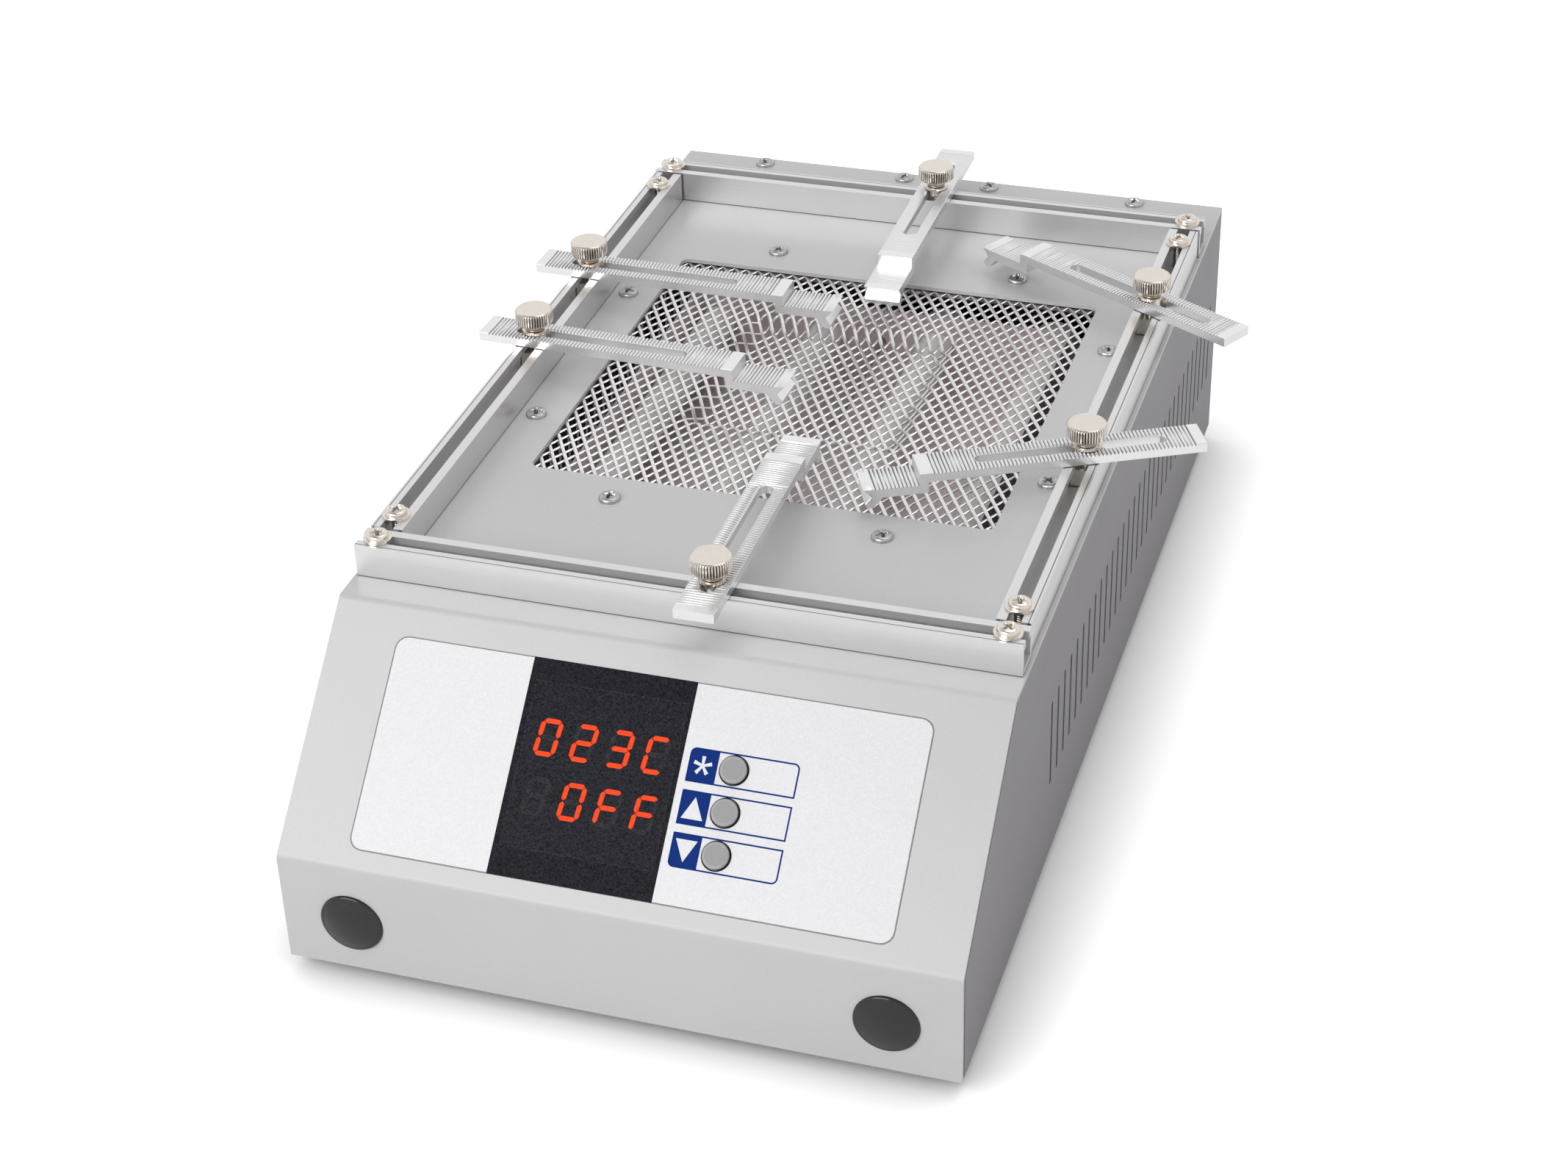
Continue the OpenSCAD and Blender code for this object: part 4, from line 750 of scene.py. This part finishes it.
# Expanded mesh
def well_depth(x, y):
    """Depth of the pressed well: full inside, rising smoothly to nothing over its sides, gently uneven."""
    inside = np.minimum(WELL_WIDTH / 2 - np.abs(x + WELL_LEFT), WELL_LENGTH / 2 - np.abs(y - WELL_BACK))
    share = np.clip(inside / WELL_RUN, 0, 1)
    share = share * share * (3 - 2 * share)
    first_x, first_y, second_y, second_x = WELL_WAVES
    uneven = WELL_UNEVEN * np.sin(x / first_x + y / first_y) * np.sin(y / second_y - x / second_x)
    return share * (WELL_DEPTH + uneven)


def even_steps(reach, step):
    """Multiples of a step that just cover -reach to reach."""
    count = math.ceil(reach / step)
    return np.arange(-count, count + 1) * step


def strands(width, length, side, size, sink, lean):
    """Parallel strands of one slant: a chamfered bar carried along lines that follow the well's depth.

    Lines stand one cell apart and cross the sheet at the cell's own slope, side +1 or -1. Points beyond the
    sheet's edge are drawn back to the edge, where they fall together. The bar is size wide and thick, leans
    over by some degrees and sits below the sheet's top by sink.
    """
    lean = math.radians(lean)
    spread = width / 2 + length / 2 * CELL_WIDTH / CELL_LENGTH
    line = even_steps(spread, CELL_WIDTH)
    reach = length / 2
    step = CELL_LENGTH / (2 * STRAND_STEPS)
    run = np.clip(even_steps(reach, step), -reach, reach)
    slope = side * CELL_WIDTH / CELL_LENGTH
    first = np.maximum((-side * width / 2 - line) / slope, -reach)
    last = np.minimum((side * width / 2 - line) / slope, reach)
    kept = last - first > step
    line, first, last = line[kept], first[kept], last[kept]
    y = np.clip(run[None, :], first[:, None], last[:, None])
    x = line[:, None] + slope * y
    z = -well_depth(x, y) - sink
    wide, thick = size[0] / 2, size[1] / 2
    nip = min(wide, thick) * STRAND_NIP
    edge = np.array([[wide - nip, -thick], [wide, nip - thick], [wide, thick - nip], [wide - nip, thick]])
    c, s = math.cos(lean), math.sin(lean)
    ring = np.concatenate([edge, -edge]) @ [[c, s], [-s, c]]
    across = np.array([1.0, -slope]) / math.hypot(1, slope)
    ways = ring[:, 0] * across[0], ring[:, 0] * across[1], ring[:, 1]
    points = np.stack([place[..., None] + way for place, way in zip((x, y, z), ways)], axis=-1)
    lines, stations, corners = points.shape[:3]
    starts = (np.arange(lines) * stations * corners)[:, None, None]
    quads = grid_quads(stations, corners, round_columns=True)
    caps = np.stack([np.arange(corners), (stations - 1) * corners + np.arange(corners)])
    return points.reshape(-1, 3), [(quads + starts).reshape(-1, 4), (caps + starts).reshape(-1, corners)]


def make_mesh(material):
    """Expanded sheet under the window: broad leaning strands one way, thinner ones below the other way."""
    low, high = np.array(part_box("heater_mesh")) / MM
    width, length = (high - low)[:2] - MESH_MARGIN
    points, polygons = joined([
        strands(width, length, -1, *BROAD_STRAND),
        strands(width, length, 1, *THIN_STRAND),
    ])
    form = points + [*middle_of("heater_mesh")[:2], high[2]], polygons
    dress("expanded_mesh", form, MESH_SHARP, material, "case", "mesh_metal", "heater_mesh")


# Panel printing
def on_panel(flat, rise):
    """Points of the panel's own frame in the case's: x stays, s runs up the slope, n stands out of it."""
    normal = np.array(joint("select_press")["axis"])
    up = np.array([0, normal[2], -normal[1]])
    foot = np.array([0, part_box("top_cover")[0][1] / MM, PANEL_FOOT])
    flat = np.asarray(flat, dtype=float)
    return foot + flat[:, :1] * [1, 0, 0] + flat[:, 1:2] * up + np.reshape(rise, (-1, 1)) * normal


def ink_slab(outline, low=LABEL_TOP, high=LABEL_TOP + INK_THICK):
    """Thin raised print: an outline given counter-clockwise, carried up from low to high and capped."""
    count = len(outline)
    points = np.concatenate([on_panel(outline, np.full(count, h)) for h in (low, high)])
    ring = np.arange(count)
    return points, [grid_quads(2, count, round_columns=True), (ring + count)[None], ring[None, ::-1]]


def ink_ring(outer, inner, low=LABEL_TOP, high=LABEL_TOP + INK_THICK):
    """Thin raised frame between two outlines with equal numbers of points."""
    count = len(outer)
    loops = [(outer, low), (outer, high), (inner, high), (inner, low)]
    points = np.concatenate([on_panel(loop, np.full(count, h)) for loop, h in loops])
    return points, [grid_quads(4, count, round_rows=True, round_columns=True)]


def round_box(left, right, low, high, radii):
    """Outline of a box, counter-clockwise from the lower left, with one radius or one for each corner."""
    turn = np.linspace(0, np.pi / 2, CORNER_POINTS)
    corners = [
        (left, low, 1, 1, np.pi), (right, low, -1, 1, 1.5 * np.pi),
        (right, high, -1, -1, 0), (left, high, 1, -1, 0.5 * np.pi),
    ]
    return np.concatenate([
        np.stack([x + r * (dx + np.cos(start + turn)), s + r * (ds + np.sin(start + turn))], axis=1)
        for (x, s, dx, ds, start), r in zip(corners, np.broadcast_to(radii, len(corners)))
    ])


def around(angle):
    """Points of the unit circle."""
    return np.stack([np.cos(angle), np.sin(angle)], axis=1)


def inset_ring(left, right, low, high, radii, line, ink=INK_THICK):
    """Thin frame just inside a box's outline: the outline and a copy that is smaller by the line's width."""
    outer = round_box(left, right, low, high, radii)
    smaller = np.maximum(radii - line, LEAST_CORNER)
    inner = round_box(left + line, right - line, low + line, high - line, smaller)
    return ink_ring(outer, inner, LABEL_TOP, LABEL_TOP + ink)


def above_ink(outline):
    """Print laid on the blue ink: a slab whose foot is on the ink's top."""
    return ink_slab(outline, LABEL_TOP + INK_THICK, LABEL_TOP + 2 * INK_THICK)


def print_piece(name, parts, material, slot):
    """A print as a piece on the case."""
    dress(name, parts, PRINT_SHARP, material, "case", slot)


def key_radii(row):
    """Corner radii of a key's box: the top box is rounded above, the bottom box below."""
    upper = KEY_CORNER if row == 1 else SQUARE_CORNER
    lower = KEY_CORNER if row == -1 else SQUARE_CORNER
    return np.array([lower, lower, upper, upper])


def make_key_print(blue, white, black):
    """Outlined boxes, blue blocks and white icons beside the keys, and a black ring round each key's hole as
    painted shade of the gap round the key.
    """
    frames, blocks, gap_shades = [], [], []
    half = KEY_BOX_HEIGHT / 2
    circle = around(np.arange(KEY_SIDES) * 2 * np.pi / KEY_SIDES)
    for row in (1, 0, -1):
        s = KEY_MIDDLE + row * KEY_PITCH
        radii = key_radii(row)
        frames.append(inset_ring(KEY_BOX_LEFT, KEY_BOX_RIGHT, s - half, s + half, radii, KEY_LINE))
        hole = [middle_of("up_button")[0], KEY_FIRST + row * KEY_PITCH]
        # Black ring round the hole: painted shade of the gap round the key.
        gap_shades.append(ink_ring(circle * KEY_GAP_SHADE_OUTER + hole, circle * KEY_GAP_SHADE_INNER + hole))
        blocks.append(ink_slab(round_box(
            KEY_BOX_LEFT + BLOCK_INSET, KEY_BLOCK_RIGHT, s - half + BLOCK_INSET, s + half - BLOCK_INSET,
            np.maximum(radii * [1, 0, 0, 1] - BLOCK_INSET, LEAST_CORNER),
        )))
    print_piece("key_boxes", joined(frames + blocks), blue, "label_film")
    print_piece("key_rims", joined(gap_shades), black, "label_film")
    icons = []
    for row, tilt in ((0, 1), (-1, -1)):
        triangle = ICON_HALF * np.array([[-1, -tilt], [1, -tilt], [0, tilt]])
        icons.append(above_ink((triangle + [ICON_X, KEY_MIDDLE + row * KEY_PITCH])[::tilt]))
    arms = np.pi / 2 + np.arange(5) * 2 * np.pi / 5
    tips = STAR_RADIUS * around(arms)
    aside = STAR_TIP * around(arms)[:, ::-1] * [-1, 1]
    dips = STAR_ROOT * around(arms + np.pi / 5)
    star = np.stack([tips - aside, tips + aside, dips], axis=1).reshape(-1, 2)
    icons.append(above_ink(star + [ICON_X, KEY_MIDDLE + KEY_PITCH]))
    print_piece("key_icons", joined(icons), white, "label_film")


def make_display_band(black, edge):
    """Black band of the label round the display lens, and the lens's own fine edge."""
    band = [round_box(*box, SQUARE_CORNER) for box in (BAND_BOX, LENS_BOX)]
    print_piece("display_band", ink_ring(*band), black, "smoked_lens")
    print_piece("lens_edge", inset_ring(*LENS_BOX, SQUARE_CORNER, LENS_LINE), edge, "smoked_lens")


def make_label_shade_line(material):
    """Painted shadow of the label's edge: a grey line round the label, lower than the band that crosses it.
    """
    left, right = (corner[0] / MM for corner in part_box("panel_label"))
    border = inset_ring(left, right, LABEL_LOW, LABEL_HIGH, LABEL_CORNER, LABEL_SHADE_WIDTH, INK_THICK / 2)
    print_piece("label_edge", border, material, "label_film")


def make_digits(lit, unlit):
    """Seven-segment digits: each segment is a long hexagon, sheared with the digit's slant."""
    w, h, t = DIGIT_WIDTH - DIGIT_STROKE, DIGIT_HEIGHT - DIGIT_STROKE, DIGIT_STROKE
    places = {
        "a": (0, h / 2, 0), "g": (0, 0, 0), "d": (0, -h / 2, 0),
        "b": (w / 2, h / 4, 1), "c": (w / 2, -h / 4, 1), "e": (-w / 2, -h / 4, 1), "f": (-w / 2, h / 4, 1),
    }
    shown = {"0": "abcdef", "2": "abged", "3": "abgcd", "C": "afed", "O": "abcdef", "F": "afge", " ": ""}
    groups = {True: [], False: []}
    for text, (x0, s0) in DIGIT_ROWS.items():
        for k, sign in enumerate(text):
            for segment, (x, s, upright) in places.items():
                reach = (h / 2 if upright else w) / 2 - SEGMENT_GAP
                side = np.array([[-reach, 0], [t / 2 - reach, -t / 2], [reach - t / 2, -t / 2]])
                hexagon = np.concatenate([side, -side])
                outline = (hexagon[:, ::-1] * [-1, 1] if upright else hexagon) + [x, s]
                outline[:, 0] += DIGIT_SLANT * outline[:, 1]
                outline += [x0 + DIGIT_WIDTH / 2 + k * DIGIT_PITCH, s0]
                groups[segment in shown[sign]].append(ink_slab(outline))
    print_piece("digits_lit", joined(groups[True]), lit, "display_block")
    print_piece("digits_unlit", joined(groups[False]), unlit, "display_block")


# Shader building blocks
def add(tree, kind, settings=None, **inputs):
    """A new node with its settings and inputs; an input that is another node's socket is joined to it."""
    node = tree.nodes.new(kind)
    for key, value in (settings or {}).items():
        setattr(node, key, value)
    feed(tree, node, **inputs)
    return node


def feed(tree, node, **inputs):
    """Sets or joins a node's inputs by name, with _ for a space."""
    for key, value in inputs.items():
        plug(tree, value, node.inputs[key.replace("_", " ")])


def plug(tree, value, socket):
    """Joins a socket to a socket, or sets its value."""
    if isinstance(value, bpy.types.NodeSocket):
        tree.links.new(value, socket)
    else:
        socket.default_value = value


def object_place(tree):
    """The point's place on the object."""
    return tree.nodes.new("ShaderNodeTexCoord").outputs["Object"]


def new_material(name):
    """A node material, its shader and its node tree."""
    material = bpy.data.materials.new(name)
    material.use_nodes = True
    return material, material.node_tree.nodes["Principled BSDF"], material.node_tree


def ranged(tree, value, low, high):
    """A value from 0 to 1 spread from low to high."""
    return add(tree, "ShaderNodeMapRange", Value=value, To_Min=low, To_Max=high).outputs[0]


def maths(tree, operation, *values, kind="ShaderNodeMath"):
    """One arithmetic step on two or three values."""
    node = add(tree, kind, {"operation": operation})
    for value, socket in zip(values, node.inputs):
        plug(tree, value, socket)
    return node.outputs[0]


def swung(tree, value, amount):
    """A value from 0 to 1 made to swing about 0 by an amount."""
    return maths(tree, "MULTIPLY", maths(tree, "SUBTRACT", value, 0.5), amount)


def tinted(tree, colour, level):
    """A colour made lighter or darker by a level about 1."""
    settings = {"data_type": "RGBA", "blend_type": "MULTIPLY"}
    return add(tree, "ShaderNodeMix", settings, Factor=1.0, A=colour, B=level).outputs["Result"]


def noise(tree, place, scale, detail, rough=0.5):
    """Cloudy noise from 0 to 1 at a scale, with octaves of detail."""
    node = add(tree, "ShaderNodeTexNoise", Vector=place, Scale=scale, Detail=detail, Roughness=rough)
    return node.outputs["Fac"]


# Shared finishes
def new_group(name, **values):
    """A shader node group from a place, a colour and some values to a colour, a roughness and a height."""
    group = bpy.data.node_groups.new(name, "ShaderNodeTree")
    socket = group.interface.new_socket
    socket("Place", in_out="INPUT", socket_type="NodeSocketVector")
    socket("Colour", in_out="INPUT", socket_type="NodeSocketColor")
    for key, value in values.items():
        kind = "NodeSocketVector" if np.ndim(value) else "NodeSocketFloat"
        socket(key.replace("_", " "), in_out="INPUT", socket_type=kind).default_value = value
    socket("Colour", in_out="OUTPUT", socket_type="NodeSocketColor")
    for key in ("Roughness", "Height"):
        socket(key, in_out="OUTPUT", socket_type="NodeSocketFloat")
    return group, group.nodes.new("NodeGroupInput").outputs, group.nodes.new("NodeGroupOutput")


def put_out(group, start, end, level, share, height):
    """Ends a group: its colour times a level, its roughness range by a share, and a height."""
    rough = ranged(group, share, start["Rough low"], start["Rough high"])
    feed(group, end, Colour=tinted(group, start["Colour"], level), Roughness=rough, Height=height)
    return group


def powder_coat_group():
    """Baked powder coat: a fine peel, darker and lighter specks and a soft unevenness of tone and sheen."""
    group, start, end = new_group("powder_coat", Peel=900.0, Specks=0.05, Rough_low=0.3, Rough_high=0.45)
    peel = noise(group, start["Place"], start["Peel"], 2.0)
    speck = noise(group, start["Place"], 3200.0, 1.0)
    cloud = noise(group, start["Place"], 22.0, 3.0)
    swing = maths(group, "MULTIPLY", swung(group, speck, start["Specks"]), 2.0)
    level = maths(group, "ADD", ranged(group, cloud, 0.96, 1.04), swing)
    return put_out(group, start, end, level, cloud, peel)


def drawn_metal_group():
    """Metal with fine lines along one way: noise stretched by a vector, in tone, roughness and height."""
    values = dict(Stretch=(2000.0, 2000.0, 60.0), Contrast=0.1, Rough_low=0.2, Rough_high=0.35)
    group, start, end = new_group("drawn_metal", **values)
    pulled = maths(group, "MULTIPLY", start["Place"], start["Stretch"], kind="ShaderNodeVectorMath")
    lines = noise(group, pulled, 1.0, 4.0, 0.6)
    cloud = noise(group, start["Place"], 45.0, 3.0)
    both = maths(group, "ADD", maths(group, "MULTIPLY", lines, 0.7), maths(group, "MULTIPLY", cloud, 0.3))
    level = maths(group, "ADD", swung(group, both, start["Contrast"]), 1.0)
    return put_out(group, start, end, level, both, lines)


def flake_film_group():
    """Film with tiny flakes: cells of random tone, each a little higher or lower than the next."""
    group, start, end = new_group("flake_film", Scale=3000.0, Contrast=0.1, Rough_low=0.35, Rough_high=0.55)
    cells = add(group, "ShaderNodeTexVoronoi", Vector=start["Place"], Scale=start["Scale"])
    tone = add(group, "ShaderNodeSeparateColor", Color=cells.outputs["Color"]).outputs
    level = maths(group, "ADD", swung(group, tone[0], start["Contrast"]), 1.0)
    return put_out(group, start, end, level, tone[1], tone[2])


def film_of(tree, group, colour, values):
    """A group's outputs at the point's place on the object."""
    settings = {"node_tree": group}
    return add(tree, "ShaderNodeGroup", settings, Place=object_place(tree), Colour=colour, **values).outputs


def finish(name, group, colour, strength, depth, rough, values, settings=None, dark=None):
    """A material that takes colour, roughness and a fine bump from a group, with painted shade in grooves if
    asked.
    """
    material, shader, tree = new_material(name)
    values = dict(values, Rough_low=rough[0], Rough_high=rough[1])
    film = film_of(tree, group, (*colour, 1), values)
    tone = film["Colour"]
    if dark is not None:
        # Painted shade: the tone darkens in grooves by each point's groove share.
        groove = add(tree, "ShaderNodeAttribute", {"attribute_name": "groove"}).outputs["Fac"]
        tone = tinted(tree, tone, ranged(tree, groove, 1.0, dark))
    bump = add(tree, "ShaderNodeBump", Strength=strength, Distance=depth * MM, Height=film["Height"])
    rough = film["Roughness"]
    feed(tree, shader, Base_Color=tone, Roughness=rough, Normal=bump.outputs[0], **(settings or {}))
    return material


def lit_finish(name, flake):
    """Glowing segments: the flake film's tone in the emission colour, over a red body."""
    material, shader, tree = new_material(name)
    film = film_of(tree, flake, (1.0, 0.07, 0.01, 1), {"Scale": 2200.0, "Contrast": 0.3})
    body = tinted(tree, film["Colour"], (0.06, 0.06, 0.06, 1))
    feed(tree, shader, Base_Color=body, Roughness=film["Roughness"], Specular_IOR_Level=0.1)
    feed(tree, shader, Emission_Color=film["Colour"], Emission_Strength=1.0)
    return material


def make_finishes():
    """Every finish on the object, by name.

    A row gives a group, colour, bump strength and depth, lowest and highest roughness and the group's own
    values, and where they are needed the shader's own settings and the tone of the painted shade in grooves.
    """
    coat, drawn, flake = powder_coat_group(), drawn_metal_group(), flake_film_group()
    metal, matt = dict(Metallic=1.0), dict(Specular_IOR_Level=0.06)
    gloss = dict(Coat_Weight=0.25, Coat_Roughness=0.18)

    def lines(contrast, *stretch):
        return {"Contrast": contrast, "Stretch": stretch}

    def flakes(contrast, scale=3000.0):
        return {"Contrast": contrast, "Scale": scale}

    def specks(amount):
        return {"Specks": amount}

    rail = (0.73, 0.725, 0.725)
    # A row's last number, where there is one, is the tone of the painted shade in its grooves.
    rows = {
        "cover_coat": (coat, (0.60, 0.592, 0.595), 0.1, 0.2, (0.32, 0.42), specks(0.06), gloss),
        "tray_coat": (coat, (0.245, 0.233, 0.254), 0.2, 0.2, (0.38, 0.5), specks(0.25)),
        "rail_drawn_across": (drawn, rail, 0.05, 0.1, (0.22, 0.4), lines(0.16, 40, 2600, 2600), metal),
        "rail_drawn_along": (drawn, rail, 0.05, 0.1, (0.22, 0.4), lines(0.16, 2600, 40, 2600), metal),
        "arm_milled": (drawn, (0.84, 0.84, 0.845), 0.02, 0.1, (0.26, 0.42), lines(0.12, 900, 900, 300),
                       dict(Metallic=0.9), 0.3),
        "nickel_turned": (drawn, (0.74, 0.69, 0.63), 0.03, 0.1, (0.12, 0.26), lines(0.18, 900, 900, 2200),
                          metal, 0.25),
        "screw_zinc": (drawn, (0.47, 0.465, 0.46), 0.03, 0.1, (0.2, 0.34), lines(0.2, 900, 900, 900),
                       metal, 0.12),
        "mesh_bright": (drawn, (0.75, 0.74, 0.745), 0.05, 0.1, (0.18, 0.38), lines(0.2, 1200, 1200, 1200),
                        metal),
        "zinc_plate": (drawn, (0.66, 0.67, 0.69), 0.04, 0.1, (0.3, 0.5), lines(0.3, 500, 500, 500), metal),
        "reflector_sheet": (drawn, (0.72, 0.64, 0.63), 0.05, 0.2, (0.25, 0.5), lines(0.5, 300, 30, 300),
                            dict(Metallic=0.3)),
        "black_moulding": (coat, (0.012, 0.012, 0.013), 0.05, 0.2, (0.1, 0.16), specks(0.3)),
        "foot_rubber": (coat, (0.02, 0.02, 0.02), 0.3, 0.3, (0.7, 0.85), specks(0.4)),
        "milky_quartz": (coat, (0.93, 0.91, 0.88), 0.05, 0.2, (0.18, 0.3), specks(0.04), dict(IOR=1.45)),
        "heating_wire": (drawn, (0.42, 0.38, 0.35), 0.4, 0.6, (0.4, 0.6), lines(0.7, 60, 1400, 60), metal),
        "cap_ceramic": (coat, (0.80, 0.77, 0.69), 0.25, 0.3, (0.6, 0.8), specks(0.2)),
        "label_film": (flake, (0.80, 0.80, 0.815), 0.05, 0.06, (0.3, 0.5), flakes(0.1, 3400.0),
                       dict(Coat_Weight=0.1)),
        "smoked_lens": (flake, (0.016, 0.016, 0.023), 0.15, 0.1, (0.22, 0.42), flakes(1.7), matt),
        "black_print": (flake, (0.013, 0.013, 0.019), 0.12, 0.1, (0.3, 0.5), flakes(1.7), matt),
        "blue_print": (flake, (0.002, 0.03, 0.205), 0.05, 0.06, (0.35, 0.5), flakes(0.25), matt),
        "label_outline": (flake, (0.24, 0.24, 0.25), 0.05, 0.06, (0.4, 0.55), flakes(0.3)),
        "white_print": (flake, (0.82, 0.82, 0.84), 0.05, 0.06, (0.4, 0.55), flakes(0.08)),
        "unlit_segments": (flake, (0.031, 0.029, 0.034), 0.1, 0.1, (0.3, 0.5), flakes(1.2), matt),
        "display_face": (coat, (0.03, 0.022, 0.02), 0.1, 0.2, (0.4, 0.55), specks(0.3)),
        "solder_mask": (drawn, (0.02, 0.14, 0.05), 0.2, 0.2, (0.3, 0.45), lines(0.9, 700, 120, 700)),
        "post_nylon": (coat, (0.66, 0.64, 0.58), 0.1, 0.2, (0.4, 0.5), specks(0.08)),
        "button_moulding": (coat, (0.44, 0.435, 0.44), 0.12, 0.2, (0.34, 0.46), specks(0.08), None, 0.2),
        "varnished_core": (drawn, (0.09, 0.06, 0.04), 0.3, 0.4, (0.35, 0.55), lines(0.9, 60, 1500, 60)),
    }
    made = {name: finish(name, *row) for name, row in rows.items()}
    made["lit_segments"] = lit_finish("lit_segments", flake)
    return made


# Rails and the other CAD nodes
def near(tree, value, place, half):
    """1 where a value in metres is within half a line's width, in millimetres, of a place, else 0."""
    return maths(tree, "COMPARE", value, place, half * MM)


def paint_shade_lines(material, axis, places, foot, middles, top):
    """Paints shade on a rail along thin lines near its edges and a contact shadow along its foot, and dulls
    the inside of its slot.

    A line is where a coordinate lies near a place. The slot is near a rail's middle, below its top.
    """
    tree = material.node_tree
    shader = tree.nodes["Principled BSDF"]
    where = add(tree, "ShaderNodeSeparateXYZ", Vector=object_place(tree)).outputs
    # Painted shade: thin dark lines near the outer edges and a contact shadow along the foot.
    shade_line_mask = near(tree, where["Z"], foot, SHADE_LINE_HALF)
    for place in places:
        shade_line_mask = maths(tree, "MAXIMUM", shade_line_mask, near(tree, where[axis], place, SHADE_LINE_HALF))
    base = shader.inputs["Base Color"]
    tone = base.links[0].from_socket
    plug(tree, tinted(tree, tone, ranged(tree, shade_line_mask, 1.0, SHADE_LINE_TONE)), base)
    slots = maths(tree, "MAXIMUM", *(near(tree, where[axis], middle, SLOT_LINING) for middle in middles))
    inside = maths(tree, "MULTIPLY", slots, maths(tree, "LESS_THAN", where["Z"], top))
    plug(tree, ranged(tree, inside, 1.0, SLOT_METAL), shader.inputs["Metallic"])


def paint_rail_shade_lines(across, along):
    """A painted shade line near each rail's outer edge and a painted contact shadow along its foot, and a
    dull slot.
    """
    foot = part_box("front_rail")[0][2] + SHADE_LINE_HALF * MM
    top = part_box("front_rail")[1][2] - RAIL_SKIN * MM
    pairs = ((across, 1, "front_rail", "rear_rail"), (along, 0, "left_rail", "right_rail"))
    for material, way, first, second in pairs:
        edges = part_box(first)[0][way] + SHADE_LINE_INSET * MM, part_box(second)[1][way] - SHADE_LINE_INSET * MM
        middles = [middle_of(rail)[way] * MM for rail in (first, second)]
        paint_shade_lines(material, "XY"[way], edges, foot, middles, top)


def paint_nodes(finishes):
    """Gives every CAD node that stays in view its finish."""
    painted = {
        "cover_coat": ["top_cover"],
        "tray_coat": ["base_tray", "rear_panel"],
        "rail_drawn_across": ["front_rail", "rear_rail"],
        "rail_drawn_along": ["left_rail", "right_rail"],
        "nickel_turned": [kind + name for name in CLAMPS for kind in ("washer_", "nut_")],
        "black_moulding": ["mains_inlet", "fuse_holder", "switch_housing", "switch_rocker", "tact_switches"],
        "foot_rubber": ["rubber_feet"],
        "zinc_plate": ["mesh_frame", "triac_heatsink"],
        "reflector_sheet": ["reflector_tray"],
        "milky_quartz": ["quartz_tubes"],
        "heating_wire": ["heating_coils", "thermocouple", "heater_leads"],
        "cap_ceramic": ["tube_end_caps"],
        "label_film": ["panel_label"],
        "smoked_lens": ["display_lens"],
        "display_face": ["led_displays"],
        "solder_mask": ["control_board", "power_board"],
        "post_nylon": ["board_posts", "ribbon_cable"],
        "varnished_core": ["transformer"],
    }
    for name, nodes in painted.items():
        for node in nodes:
            mesh = frame["nodes"][node].data
            mesh.materials.clear()
            mesh.materials.append(finishes[name])


bpy.context.scene.view_settings.view_transform = "Standard"
make_camera()
make_world()
make_floor()
for lamp_name, lamp in LAMPS.items():
    make_lamp(lamp_name, *lamp)

finishes = make_finishes()
paint_rail_shade_lines(finishes["rail_drawn_across"], finishes["rail_drawn_along"])
paint_nodes(finishes)
make_arms(finishes["arm_milled"])
make_thumb_screws(finishes["nickel_turned"])
make_screws(finishes["nickel_turned"], finishes["screw_zinc"])
make_plugs(finishes["black_moulding"])
make_keys(finishes["button_moulding"])
make_mesh(finishes["mesh_bright"])
make_display_band(finishes["black_print"], finishes["unlit_segments"])
make_label_shade_line(finishes["label_outline"])
make_key_print(finishes["blue_print"], finishes["white_print"], finishes["black_print"])
make_digits(finishes["lit_segments"], finishes["unlit_segments"])
